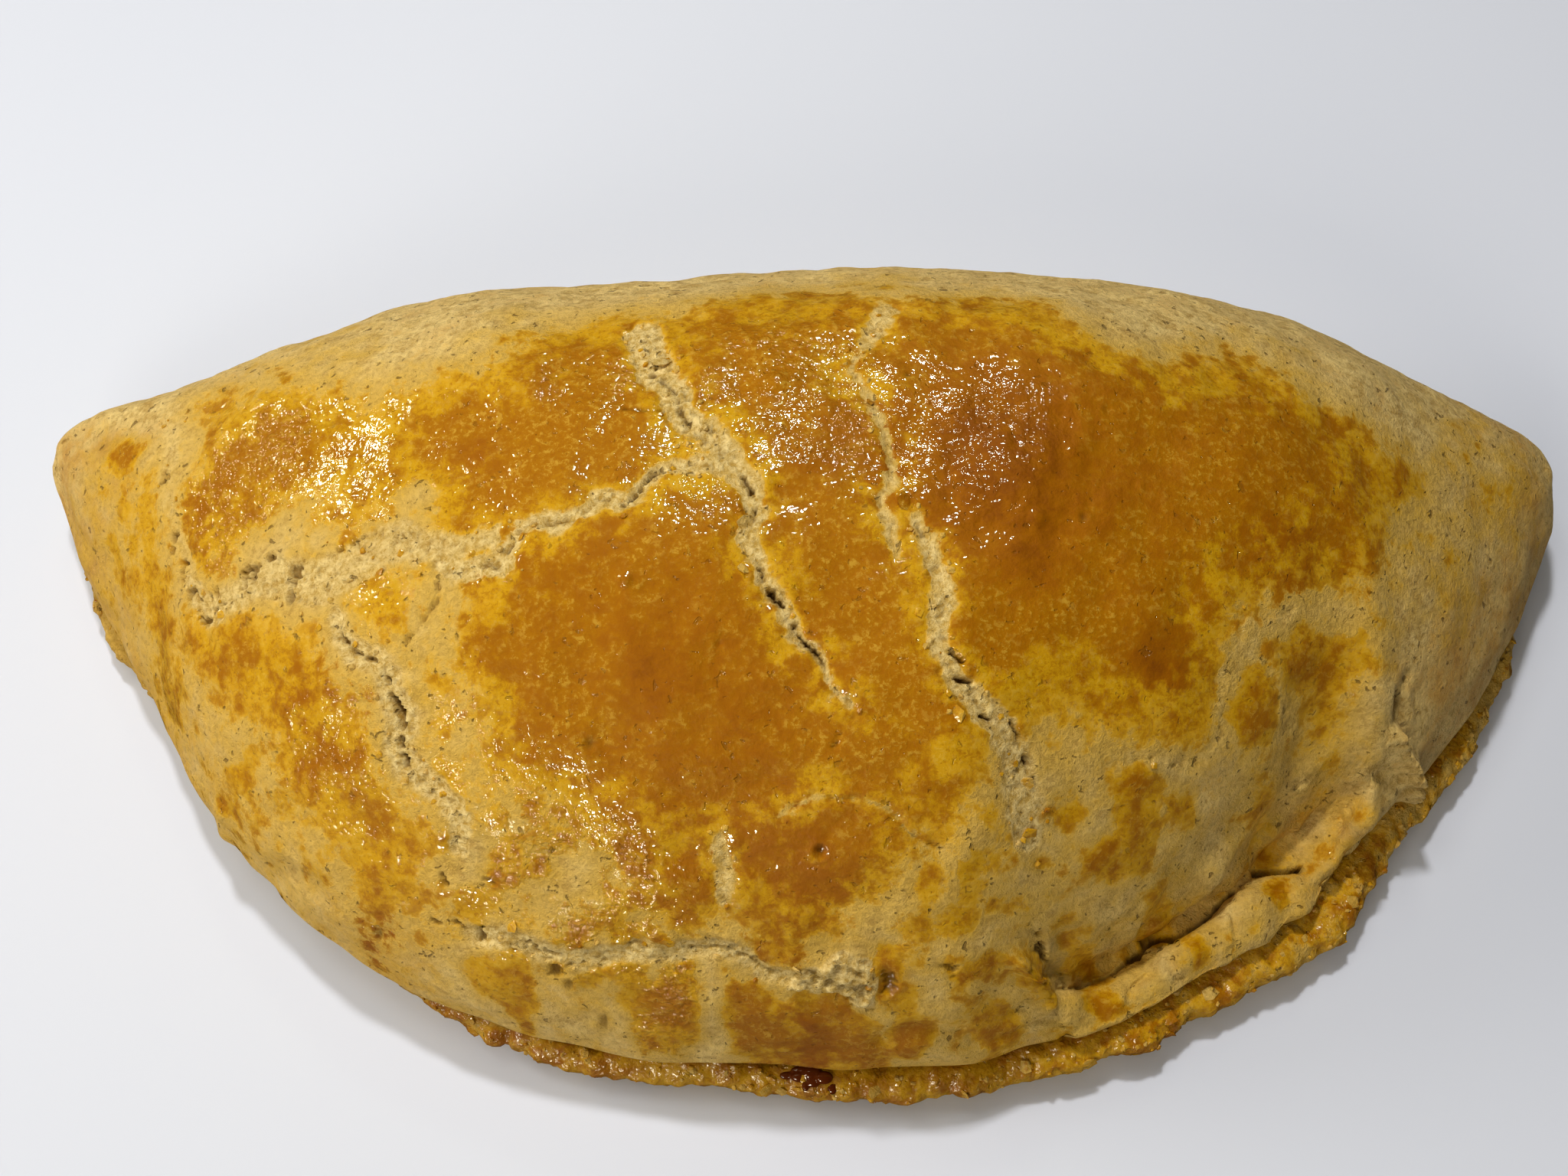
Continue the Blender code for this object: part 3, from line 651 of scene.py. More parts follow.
# %% Where the glaze is only specks, a wash or a thin smear
WIPED = [  # where the brush was nearly dry and left specks: x, y, and how far it reaches
    (18, -26, 10), (34, -25.5, 8), (28, -29, 7), (8, -31, 8), (14, -34, 7), (-30, -27, 8), (-21, -27, 8),
    (-50, -11, 9), (-58, 6, 8), (-44, 19.5, 8), (-32, -18, 6), (-24, 19, 6), (-12, 12, 6), (6, 24, 6),
    (48, 2, 8), (46, -13, 6), (-42, -22, 7), (-30, -7, 5), (55, 5, 7), (24, -20, 8), (-64, 14, 7),
    (-18, -31.5, 5), (40, 17, 7), (40, -22, 8), (46, -18, 5), (22, -33, 6), (-40, 0, 6), (62, 14, 8),
    (-36, -29, 5),
]
WASHED = [  # the same, where it left a thin wash between the plates
    (-28.5, -13, 5), (-27, -19.5, 6.5), (-22, -25, 6), (-34, -24, 5), (-15.5, -28.5, 4), (-44, -10, 7),
    (-41, -18, 6), (-38, 4, 5), (-30, 0, 4), (-60, 9, 7), (-57, -4, 6), (-48, -15, 5), (16, -24, 4),
    (44, -8, 5), (10, -29, 4),
]
THIN = [  # smears where the glaze is thin: x, y, radius, and how much is missing
    (-38, 11, 9, 2.6), (-24, 14, 6, 1.8), (-45, 6, 6, 2), (-32, 6, 5, 1.4), (-24, -15, 5, 2.2),
    (-42, -10, 7, 1.6), (-19, -21, 6, 1.6), (6, -14, 6, 1.4), (0, 16, 5, 1.6), (-10, 19, 4, 1.6),
    (48, 9, 6, 1.6), (28, 16, 6, 1.6), (14, -16, 4, 1.6), (-4, 2, 3, 1.6), (2, -6, 4, 1.2), (-52, 16, 4, 2),
    (-22, -3.5, 4, 1.6), (22, -14, 4, 1.4), (38, 12, 5, 1), (-13, 0, 4, 1.4), (26.9, 11.7, 1.4, 2.6),
    (32.6, 12.4, 1.3, 2.4), (41.5, 9, 1.1, 2.2), (42.6, 1.4, 1.2, 2.2), (46.2, 3, 1.1, 2),
    (43, 5.4, 0.9, 2), (-32, 4.4, 1.7, 2.4), (-30.2, -13.5, 2.2, 4), (-29, -17.6, 1.9, 3),
    (-8.8, -15, 0.6, 1.6), (-7.6, -18.6, 0.7, 1.6), (-30.6, -6.6, 1.6, 3), (18.5, -21, 1.6, 3),
    (-12.9, -25.6, 0.8, 1.6), (-20, 8.6, 1.6, 1.2), (2.4, -24, 1.4, 1.2), (-15, 13, 1.2, 2),
    (52.2, -10, 3, 3), (34, 5.4, 0.7, 1.4), (-22, -21, 1.6, 1.4),
]
print(len(WIPED) + len(WASHED), "specked and washed places,", len(THIN), "thin ones")


# %% How deep inside the glaze each place lies
def inside_by(polygon, plan):
    """How far each place lies inside an outline, in millimetres; below nought outside it."""
    closed = np.array(polygon + polygon[:1], float)
    within = np.zeros(len(plan), bool)
    for (x_a, y_a), (x_b, y_b) in zip(closed[:-1], closed[1:]):
        if y_a == y_b:
            continue
        crosses = (plan[:, 1] > min(y_a, y_b)) & (plan[:, 1] <= max(y_a, y_b))
        at = x_a + (plan[:, 1] - y_a) * (x_b - x_a) / (y_b - y_a)
        within ^= crosses & (plan[:, 0] < at)
    away = away_from(closed, plan)
    return np.where(within, away, -away)


def glaze_depth(places):
    """Millimetres inside the glazed plates, before the tears are taken away."""
    plan = wandered(places, 2.6, 0.8, (41, 42))
    depth = np.full(len(places), -9.0)
    for polygon in PLATES.values():
        depth = np.maximum(depth, inside_by(polygon, plan))
    for x, y, radius, missing in THIN:
        depth -= missing * spot(plan, x, y, radius)
    stained = -0.75 + 2.0 * clouds(places, 2.3, 45) + 0.7 * clouds(places, 1.1, 46)
    for listed, more in ((WIPED, 0.0), (WASHED, 1.3)):
        for x, y, reach in listed:
            away = np.hypot(plan[:, 0] - x, plan[:, 1] - y) / reach
            depth = np.maximum(depth, stained + more - 2.6 * away**2)
    for polygon in SMALL_PATCHES:
        near = np.linalg.norm(plan - np.mean(polygon, axis=0), axis=1) < 12.0
        depth[near] = np.maximum(depth[near], 3.2 * inside_by(polygon, plan[near]) + 0.7)
    return depth


glaze = glaze_depth(points)
print(f"glaze over {(glaze > 0).mean():.0%} of the cover's points")

# %% What the tears do
FAR = 9.0  # stands for no tear near by


def tear_apart(places):
    """What the tears do at each place: how far it lies outside the nearest pale band, how far outside the
    nearest slit, how much the band sinks, and how deep the slit is there."""
    ragged = hills(places, (0.42, 1.5, 11), (0.30, 0.6, 12))
    frayed = hills(places, (0.20, 0.9, 13), (0.14, 0.4, 14))
    bridged = 0.45 * ramp(clouds(places, 1.6, 15), 0.0, 0.5)
    band, slit = np.full((2, len(places)), FAR)
    sink, deep = np.zeros((2, len(places)))

    def cut(to_slit, depth):
        deep[:] = np.where(to_slit < slit, depth, deep)
        slit[:] = np.minimum(slit, to_slit)

    for shown_sink, path in tears.values():
        away, nearest = path_distance(path, places, 6.0)
        to_band = away - 0.8 * path[nearest, 3] + ragged
        sink = np.where(to_band < band, shown_sink, sink)
        band = np.minimum(band, to_band)
        half = path[nearest, 4]
        to_slit = away - 0.06 - 0.22 * half + frayed * ramp(half, 0.0, 0.3) + bridged * ramp(half, 0.8, 0.2)
        to_slit += np.where(half < 0.03, FAR, 0.0)
        cut(to_slit, 0.3 + (SLIT_DEPTH - 0.3) * ramp(half, 0.1, 0.7))
    for x, y, wide, tall in HOLES:
        oval = np.hypot((places[:, 0] - x) / wide, (places[:, 1] - y) / tall)
        to_hole = (oval - 0.6) * min(wide, tall, 0.5) + 2.4 * frayed
        cut(np.where(places[:, 2] > FOOT_TOP, to_hole, FAR), 0.55)
    for path, depth in slits:
        away, nearest = path_distance(path, places, 2.0)
        cut(away - path[nearest, 4] + 0.5 * frayed, depth)
    return band, slit, sink, deep


band, slit, sink, deep = tear_apart(points)
print(f"torn over {(band < 0).mean():.0%} of the cover's points")

# %% Lift and sink the crust
torn = ramp(band, 0.45, -0.35)
open_slit = ramp(slit, 0.10, -0.12)
holes = ramp(clouds(points, 0.55, 21), 0.30, 0.55) * torn * ramp(sink, 0.1, 0.4)
height_up = points[:, 2]
on_dome = ramp(height_up, 5.0, 10.0)
lift = on_dome * hills(points, (0.30, 8.0, 1), (0.20, 3.4, 2))
lift += on_dome * (0.09 * clouds(points, 1.7, 3) + 0.04 * clouds(points, 1.0, 4) * ramp(glaze, -0.5, 0.5))
by_the_seal = ramp(points[:, 0], 12.0, 22.0) * ramp(points[:, 1], -6.0, -16.0) * ramp(height_up, 3.0, 6.0)
by_the_seal *= ramp(height_up, 20.0, 13.0)
lift += by_the_seal * hills(points, (0.75, 5.5, 5), (0.40, 2.6, 6))
lift -= by_the_seal * 0.40 * ramp(np.abs(clouds(points, 5.0, 8)), 0.13, 0.0)  # creases
lift += 0.45 * clouds(points, 7.0, 7) * ramp(height_up, 3.0, 5.0) * ramp(height_up, 11.0, 8.0)
lift += torn * (hills(points, (0.12, 1.1, 22), (0.05, 0.5, 23)) - 0.45 * sink) - 0.12 * holes
crumbled = inside_by(CRUMBLED, points[:, :2] + 0.35 * clouds(points, 1.0, 24)[:, None])
crumbled = ramp(crumbled, -0.1, 0.25) * on_dome
chunks = clouds(points, 0.9, 25)
lift += crumbled * (0.30 + 0.35 * chunks - 0.35 * ramp(np.abs(clouds(points, 1.4, 26)), 0.12, 0.0))
lift -= open_slit * deep
for path, height, half_width in folds:
    away = np.minimum(path_distance(path, points, 3.0 * half_width)[0], FAR)
    lift += height * np.exp(-((away / half_width) ** 2)) * ramp(height_up, 4.0, 7.0)
# Painted shade in the deeper pits: it goes into the dark field so that these hollows look shaded.
pit_shade = np.zeros(len(points))
for x, y, radius, depth in PITS:
    away = np.linalg.norm(points[:, :2] - (x, y), axis=1) / radius
    pit_shade = np.maximum(pit_shade, 0.6 * (depth > 0.2) * np.exp(-((away / 0.6) ** 2)) * on_dome)
    bowl = np.where(away < 1, (1 - np.minimum(away, 1) ** 2) ** 2, 0.0) * on_dome
    lift -= depth * bowl - 0.15 * abs(depth) * np.exp(-(((away - 1.15) / 0.25) ** 2)) * on_dome
shaped = points + outwards * lift[:, None]
print(f"lifted and sunk from {lift.min():.1f} to {lift.max():.1f} mm")

# %% Where the glaze broke off, and the shade painted into the crust
torn = np.maximum(torn, crumbled)
glaze = np.minimum(glaze, np.maximum(2.2 * band + 0.5, -2.5))
glaze = glaze - 6.0 * crumbled - 1.2 * torn * ramp(sink, 0.1, 0.4)
edge_share = np.repeat(sealed[None], net.shape[0], axis=0).ravel()[used]
# The dark field is painted shade. It darkens the open slits, the holes in torn dough and the deeper pits.
# It also darkens the foot under the dome's edge along the seal and the hollows between crumbled bits.
dark = np.zeros(len(points))
shade_under_edge = ramp(height_up, 6.2, 4.6) * edge_share
for shadow in (open_slit * ramp(deep, 0.1, 0.8), 0.4 * holes, pit_shade, 0.75 * shade_under_edge,
               0.55 * crumbled * ramp(chunks, -0.15, -0.45)):
    dark = np.maximum(dark, shadow)
print(f"dark over {(dark > 0.5).mean():.1%} of the points, and glazed over {(glaze > 0).mean():.0%}")

# %% [markdown]
# ## Where the oven browned it
# The glaze darkened most at the top of the dome, which was nearest to the heat, and in a few spots. Bare
# dough stays cream and turns tan at the ends and low down, where the crust is thin.

# %% Toasting
TOASTED = [  # x, y, radius, and how strongly the glaze is darkened
    (15.5, 4, 8, 0.75), (15, 10, 6, 0.25), (0, 6, 6, 0.25), (29.3, -10.3, 2.2, 0.7), (18, -4.9, 2.5, 0.35),
    (40, 0.5, 3.5, 0.35), (-26.4, 6.9, 2, 0.5), (-11.8, -12.9, 2.2, 0.35), (-16, -8, 9, 0.22),
    (-6, -16, 8, 0.25), (0, -27, 4.5, 0.35), (0.8, -36.4, 1.6, 0.5), (-40.5, -12, 5, 0.25),
    (-51.3, 7, 4, 0.15), (30, 8, 9, 0.15), (25, -3, 8, 0.12), (-9, -24, 5, 0.15), (-36, -27, 2.6, 0.3),
    (46, 8, 4, 0.15),
]
BROWNED = [  # the same for bare dough
    (-62.5, 16.9, 3, 0.6), (-51.3, 18.7, 2.2, 0.5), (-70, 17, 6, 0.25), (-50, -12, 9, 0.25),
    (-36, -29, 6, 0.35), (70, 12, 6, 0.2), (58, -2, 8, 0.1), (48, -17, 5, 0.15), (20, -35.6, 1.6, 0.3),
    (-58, -4, 5, 0.45), (-64, 7, 7, 0.45), (6.8, -33, 0.9, 0.7), (33.4, -28.4, 2, 0.2), (64, 4, 9, 0.2),
    (56, -8, 6, 0.15), (66, 16, 7, 0.15),
]
PUCKERED = [  # the same for the fine wrinkles that the glaze dried in
    (-2, 13, 5.5, 0.8), (14.8, 6, 5.8, 0.75), (4, 7, 4, 0.4), (-16, 14, 3, 0.4), (-48, 12, 5, 0.6),
    (-22, 13, 4, 0.2), (-40, -14, 6, 0.4), (-17, -28, 6, 0.8), (-24, -24, 4, 0.7), (-50, 5, 5, 0.5),
    (-11, -34, 3.5, 1), (-9, 2, 3.5, 0.4),
]


def spots(places, listed):
    """The sum of soft round spots, from 0 to 1."""
    plan = wandered(places, 4.0, 1.6, (43, 44))
    total = np.zeros(len(places))
    for x, y, radius, strength in listed:
        total += strength * spot(plan, x, y, radius)
    return np.clip(total, 0.0, 1.0)


toast = spots(points, TOASTED)
pucker = spots(points, PUCKERED)
brown = np.clip(spots(points, BROWNED) + 0.15 * ramp(points[:, 2], 8.0, 2.0), 0.0, 1.0)
print(f"toasted most {toast.max():.2f}, browned most {brown.max():.2f}")

# %% Make the cover's mesh
BASE_STEPS = 4  # rows of faces from the foot in to the middle


def put_in_scene(name, data):
    """A new object in the scene, at the origin."""
    made = bpy.data.objects.new(name, data)
    bpy.context.scene.collection.objects.link(made)
    return made


def mesh_piece(name, corners, faces, fields):
    """A smooth object in the pie's frame, from points in millimetres, with its fields as attributes."""
    mesh = bpy.data.meshes.new(name)
    mesh.from_pydata((np.asarray(corners) * MM).tolist(), [], faces)
    for field, values in fields.items():
        kept = mesh.attributes.new(field, "FLOAT", "POINT")
        kept.data.foreach_set("value", np.asarray(values, np.float32))
    mesh.shade_smooth()
    mesh.update()
    return put_in_scene(name, mesh)


def base_below(corners, faces):
    """Closes the cover underneath: rows from the foot in to a line below the ridge."""
    count = 2 * HALF_CELLS
    foot = np.searchsorted(used, np.arange(count) * SPLIT)
    edge = corners[foot]
    middle = np.column_stack([ridge(around[::SPLIT])[:, :2], np.zeros(count)]) + to_frame
    rows, added = [foot], []
    for step in range(1, BASE_STEPS + 1):
        number = np.arange(count)
        if step == BASE_STEPS:
            number = np.minimum(number, (count - number) % count)  # both sides share the last row
        rows.append(len(corners) + (step - 1) * count + number)
        added.append(edge + (middle - edge) * (step / BASE_STEPS))
    added[-1] = added[-1][: HALF_CELLS + 1]
    for outer, inner in zip(rows[:-1], rows[1:]):
        for k in range(count):
            beside = (k + 1) % count
            face = [int(outer[beside]), int(outer[k]), int(inner[k]), int(inner[beside])]
            faces.append(list(dict.fromkeys(face)))  # a point that comes twice is kept once
    return np.vstack([corners, *added])


cover_points = shaped + to_frame
cover_points[:, 2] = np.maximum(cover_points[:, 2], 0.0)
renumbered = np.searchsorted(used, np.concatenate([np.array(face) for face in cover_faces]))
ends = np.cumsum([len(face) for face in cover_faces])[:-1]
faces = [list(dict.fromkeys(face.tolist())) for face in np.split(renumbered, ends)]
all_points = base_below(cover_points, faces)
along_tears = ramp(band, 1.2, 0.2) * ramp(slit, 0.1, 0.4) * on_dome * ramp(sink, 0.05, 0.4)
fields = {  # on the crust, and under the pie
    "glaze": (glaze, -3.0), "toast": (toast, 0.0), "dark": (dark, 0.0), "brown": (brown, 0.6),
    "pucker": (pucker, 0.0), "torn": (np.maximum(torn * ramp(sink, 0.0, 0.5), crumbled), 0.0),
    "crumbs": (np.maximum(0.35 * along_tears, 0.3 * crumbled), 0.0)}
under = len(all_points) - len(cover_points)
cover = mesh_piece("cover", all_points, faces, {
    field: np.append(values, np.full(under, below)) for field, (values, below) in fields.items()})
print("cover:", len(cover.data.vertices), "points,", sum(len(p.vertices) - 2 for p in cover.data.polygons),
      "triangles")

# %% [markdown]
# ## The bottom sheet
# Under the dome lies the other half of the dough, and its cut edge sticks out along the front as a lip.
# It was cut with a knife and crumbled as it baked, so its edge wanders in and out and is rough. It is a
# ribbon: a rounded section, swept along the front outline, whose inner half is hidden under the dome.

# %% Where the lip reaches, and its section
DOUGH = 3.2  # how thick the sheet is
LIP_LIFT = 1.5  # how far its edge curls up from the table
LIP_X = [-72.8, -70.3, -66.3, -62.8, -59.8, -47.8, -37.8, -31.8, -26, -20, -14, -6, 0, 8, 14,
         20, 28, 34, 40, 46, 52, 58, 63, 67.2, 72.2]
LIP_REACH = [-2, 0.2, 1, 0.5, -1.3, -2, -1.2, -0.1, 0.8, 1.4, 1.1, 1.3, 1.9, 2, 1.9,
             1.9, 2.3, 2.1, 2.8, 3.5, 2.6, 2, 1.5, 0.9, -1.6]
SHEET_STATIONS = 560
SECTION_STEPS = 3
SHEET_INNER = -7.5  # where the sheet ends, hidden under the dome


def sheet_section(line, share_along):
    """The ribbon's section at each point of its line, as a closed loop of rows of points."""
    station_x = line[:, 0]
    ends = ramp(share_along, 0.0, 0.03) * ramp(share_along, 1.0, 0.97)
    flat = np.column_stack([line[:, :2], np.zeros(len(line))])
    reach = np.interp(station_x, LIP_X, LIP_REACH)
    reach = reach + 0.55 * clouds(flat, 3.6, 31) + 0.30 * clouds(flat, 1.5, 32)
    curl = LIP_LIFT + 0.5 * clouds(flat, 9.0, 33)
    top = curl + DOUGH + 0.35 * clouds(flat, 5.0, 34)
    outs = [SHEET_INNER, -5.0, reach - 4.0, reach - 2.2, reach - 0.6, reach, reach - 0.35, reach - 1.5,
            np.minimum(-1.5, reach - 2.6), -4.0, SHEET_INNER + 0.3]
    ups = [0.05, 0.05, 0.05, 0.5 * curl, curl + 0.3, curl + 0.5 * DOUGH, top - 0.7, top,
           top - 0.3, 3.6, 2.6]
    loop = np.array([[out + 0 * reach, up + 0 * reach] for out, up in zip(outs, ups)])
    centre = np.array([-5.0, 1.2])[None, :, None]
    return centre + (loop - centre) * ends


print("the lip stands out from", min(LIP_REACH), "to", max(LIP_REACH), "mm past the widest line")

# %% Sweep the section along the front
front_line, front_out = around[: HALF_CELLS * SPLIT + 1], outward[: HALF_CELLS * SPLIT + 1]
line = evenly(np.hstack([front_line, front_out]), SHEET_STATIONS)
section = sheet_section(line, np.arange(SHEET_STATIONS) / SHEET_STATIONS)
loop = dense_loop(np.moveaxis(section, 1, 2), SECTION_STEPS)
sheet = np.empty(loop.shape[:2] + (3,))
sheet[..., :2] = line[None, :, :2] + line[None, :, 2:] * loop[..., :1]
sheet[..., 2] = np.maximum(loop[..., 1], 0.02)
round_section = np.roll(sheet, -1, axis=0) - np.roll(sheet, 1, axis=0)
sheet_out = unit(np.cross(np.gradient(sheet, axis=1), round_section))
places = sheet.reshape(-1, 3)
shows = ramp(loop[..., 0], -2.5, -0.5).ravel() * ramp(places[:, 2], 0.2, 1.2)
rough = hills(places, (0.20, 1.3, 35), (0.16, 0.7, 36))
rough -= 0.35 * ramp(clouds(places, 0.9, 37), 0.30, 0.6)
places = places + sheet_out.reshape(-1, 3) * (rough * shows)[:, None]
places[:, 2] = np.maximum(places[:, 2], 0.0)
print("bottom sheet of", loop.shape[0], "by", SHEET_STATIONS, "points")

# %% The sheet's browning, and its mesh
SHEET_BROWNED = [  # along x: how brown the lip is
    (-72, 0.55), (-60, 0.6), (-45, 0.5), (-34, 0.7), (-21, 0.7), (-17, 0.2), (-8, 0.1), (-1, 0.3),
    (2, 0.35), (6, 0.2), (14, 0.1), (30, 0.15), (42, 0.2), (50, 0.4), (56, 0.25), (72, 0.3)]
SHEET_GOLD = [(-72, -1), (-30, 0.4), (-15, 2.2), (10, 2.4), (24, 1.2), (40, 1), (58, 0.2), (72, -1)]
# Painted shade in the crevice where the lip tucks under the dome's edge, kept in the sheet's dark field.
crevice_shade = ramp(loop[..., 0], -0.2, -1.8).ravel() * ramp(places[:, 2], 2.0, 3.5)
sheet_brown = np.interp(places[:, 0], *zip(*SHEET_BROWNED)) + 0.25 * clouds(places, 3.0, 38)
sheet_brown = np.clip(sheet_brown + 0.4 * ramp(places[:, 2], 1.6, 0.2), 0, 1)
sheet_glaze = np.interp(places[:, 0], *zip(*SHEET_GOLD)) + 0.8 * clouds(places, 3.0, 39)
count, length = loop.shape[:2]
faces = []
for row in range(count):
    above = (row + 1) % count
    for k in range(length - 1):
        faces.append([row * length + k, row * length + k + 1, above * length + k + 1, above * length + k])
faces.append([row * length for row in range(count)])
faces.append([row * length + length - 1 for row in reversed(range(count))])
on_the_lip = shows * ramp(places[:, 2], 3.0, 3.8)
bottom_sheet = mesh_piece("bottom_sheet", places + to_frame, faces, {
    "glaze": sheet_glaze, "toast": 0.35 * sheet_brown, "torn": 0.15 * shows, "dark": 0.9 * crevice_shade,
    "brown": sheet_brown, "pucker": 0.6 * shows,
    "crumbs": on_the_lip * (0.5 + 0.5 * ramp(clouds(places, 6.0, 40), -0.2, 0.4))})
print("bottom sheet:", sum(len(p.vertices) - 2 for p in bottom_sheet.data.polygons), "triangles")

# %% [markdown]
# ## The finish of the crust
# The cover and the sheet are the same dough, and differ in how much glaze and browning they carry. Both
# read those from the attributes on their points. What they share is made once, as two node groups. "Dough
# grain" gives the fine, uneven grain of baked dough. "Baked colour" turns the depth of the glaze, the
# toasting and the browning into a colour. It paints shade into the pores, slits, holes, pits and crevices
# from the dark field, and says how glossy the place is. The shader itself stays in each material. The
# glaze is its coat, with a relief of its own: it dried in wrinkles over smooth dough, and grain as fine as
# the dough's would turn the glints of so smooth a coat to haze.

# %% Helpers for nodes
def plug(tree, socket, value):
    """Joins a node's socket to another, or gives it a value."""
    if isinstance(value, bpy.types.NodeSocket):
        tree.links.new(value, socket)
    else:
        socket.default_value = value


def node(tree, kind, *values, **settings):
    """A new node with its settings, and its first inputs joined or given values."""
    made = tree.nodes.new(kind)
    for setting, value in settings.items():
        setattr(made, setting, value)
    for socket, value in zip(made.inputs, values):
        plug(tree, socket, value)
    return made


def calc(tree, operation, *values):
    """A Math node's result."""
    return node(tree, "ShaderNodeMath", *values, operation=operation).outputs[0]


def between(tree, value, low, high, to_low=0.0, to_high=1.0):
    """The value eased from low..high to to_low..to_high."""
    return node(tree, "ShaderNodeMapRange", value, low, high, to_low, to_high,
                interpolation_type="SMOOTHSTEP").outputs[0]


def blend(tree, share, first, second):
    """A colour between two."""
    made = node(tree, "ShaderNodeMix", share, data_type="RGBA")
    plug(tree, made.inputs[6], first)
    plug(tree, made.inputs[7], second)
    return made.outputs[2]


def noise(tree, place, size, detail, roughness, distortion):
    """Noise whose patches are about size millimetres across."""
    made = node(tree, "ShaderNodeTexNoise", place)
    for title, value in (("Scale", 1 / (size * MM)), ("Detail", detail), ("Roughness", roughness),
                         ("Distortion", distortion)):
        made.inputs[title].default_value = value
    return made.outputs["Fac"]


def baked(red, green, blue):
    """A colour given as it is seen, from 0 to 255, for a shader."""
    return tuple((c / 255 / 12.92 if c <= 10 else ((c / 255 + 0.055) / 1.055) ** 2.4)
                 for c in (red, green, blue)) + (1.0,)


def new_group(name, inputs, outputs):
    """An empty node group with named sockets, and its ends."""
    group = bpy.data.node_groups.new(name, "ShaderNodeTree")
    for title, kind, value in inputs:
        socket = group.interface.new_socket(title, in_out="INPUT", socket_type=kind)
        if value is not None:
            socket.default_value = value
    for title, kind in outputs:
        group.interface.new_socket(title, in_out="OUTPUT", socket_type=kind)
    return group, group.nodes.new("NodeGroupInput").outputs, group.nodes.new("NodeGroupOutput").inputs


# %% The grain of baked dough
GRAIN_SIZES = {"Patches": (5.0, 3.0, 0.6), "Mottle": (1.5, 4.0, 0.65), "Grain": (0.6, 4.0, 0.75)}

grain, given, result = new_group(
    "dough grain", [("Place", "NodeSocketVector", None)],
    [(title, "NodeSocketFloat") for title in (*GRAIN_SIZES, "Pores", "Wrinkles")])
for title, (size, detail, roughness) in GRAIN_SIZES.items():
    uneven = noise(grain, given["Place"], size, detail, roughness, 0.2)
    plug(grain, result[title], between(grain, uneven, 0.32, 0.68))
pores = noise(grain, given["Place"], 0.8, 2.0, 0.55, 0.5)
plug(grain, result["Pores"], between(grain, pores, 0.65, 0.73))
plug(grain, result["Wrinkles"], noise(grain, given["Place"], 0.6, 1.5, 0.5, 0.25))
print(grain.name, "has", len(grain.nodes), "nodes")

# %% The colours of baking
WHITE_CRUMB = baked(240, 214, 146)
CRUMB_SHADE = baked(196, 156, 66)
CREAM = baked(198, 160, 84)
BUTTER = baked(246, 216, 138)
OCHRE = baked(214, 169, 60)
TAN = baked(198, 148, 64)
CRUST_BROWN = baked(146, 88, 26)
PALE_GOLD = baked(220, 176, 60)
YOLK = baked(212, 160, 34)
GOLD = baked(206, 154, 12)
AMBER = baked(170, 109, 0)
DEEP_AMBER = baked(158, 93, 0)
TOASTED_RED = baked(136, 74, 4)
SHADED_HOLE = baked(92, 60, 16)

READ_FIELDS = ("Glaze", "Toast", "Torn", "Dark", "Brown")
READ_GRAIN = (*GRAIN_SIZES, "Pores")

colours, given, result = new_group(
    "baked colour", [(title, "NodeSocketFloat", 0.0) for title in READ_FIELDS]
    + [(title, "NodeSocketFloat", 0.0 if title == "Pores" else 0.5) for title in READ_GRAIN],
    [("Color", "NodeSocketColor"), ("Glazed", "NodeSocketFloat")])


def varied(value, *reaches):
    """The value made uneven, by plus or minus half of each reach, for mottle, patches and grain."""
    for title, reach in zip(("Mottle", "Patches", "Grain"), reaches):
        swing = calc(colours, "MULTIPLY_ADD", given[title], reach, -0.5 * reach)
        value = calc(colours, "ADD", value, swing)
    return value


def laid_on(below, *coats):
    """The colour below, with coats laid over it: each is a value, the low and high ends that it is eased
    between, how much of the coat shows at each end, and its colour."""
    for value, low, high, at_low, at_high, coat in coats:
        below = blend(colours, between(colours, value, low, high, at_low, at_high), below, coat)
    return below


depth = varied(given["Glaze"], 1.5, 1.2, 0.7)
glazed = between(colours, depth, -0.5, 0.6)
thick = varied(calc(colours, "MULTIPLY", given["Glaze"], 0.34), 1.5, 1.9, 1.2)
toasting = varied(given["Toast"], 0.35, 0.15, 0.15)
shade = laid_on(
    GOLD, (thick, 0.0, 1.7, 0.0, 1.0, AMBER), (depth, 0.0, 1.8, 0.75, 0.0, YOLK),
    (given["Grain"], 0.55, 1.0, 0.0, 0.5, PALE_GOLD), (given["Grain"], 0.42, 0.0, 0.0, 0.6, DEEP_AMBER),
    (toasting, 0.0, 0.5, 0.0, 1.0, DEEP_AMBER), (toasting, 0.40, 1.0, 0.0, 1.0, TOASTED_RED))
tanned = varied(given["Brown"], 0.3, 0.4, 0.1)
bare = laid_on(
    blend(colours, varied(0.5, 0.7, 0.3, 0.5), CREAM, BUTTER), (tanned, 0.0, 0.5, 0.0, 0.9, TAN),
    (tanned, 0.4, 0.95, 0.0, 1.0, CRUST_BROWN), (depth, -4.0, 0.2, 0.0, 0.8, OCHRE))
crumb = blend(colours, given["Grain"], CRUMB_SHADE, WHITE_CRUMB)
bare = blend(colours, calc(colours, "MULTIPLY", given["Torn"], 0.85), bare, crumb)
# Painted shade in the fine holes of bare dough, where its grain is lowest.
bare = laid_on(bare, (given["Grain"], 0.4, 0.0, 0.0, 0.22, SHADED_HOLE))
finish = blend(colours, glazed, bare, shade)
# Painted shade in the pores, stronger on bare dough than under the glaze.
pit_shade = between(colours, glazed, 0.0, 1.0, 0.6, 0.3)
finish = blend(colours, calc(colours, "MULTIPLY", given["Pores"], pit_shade), finish, SHADED_HOLE)
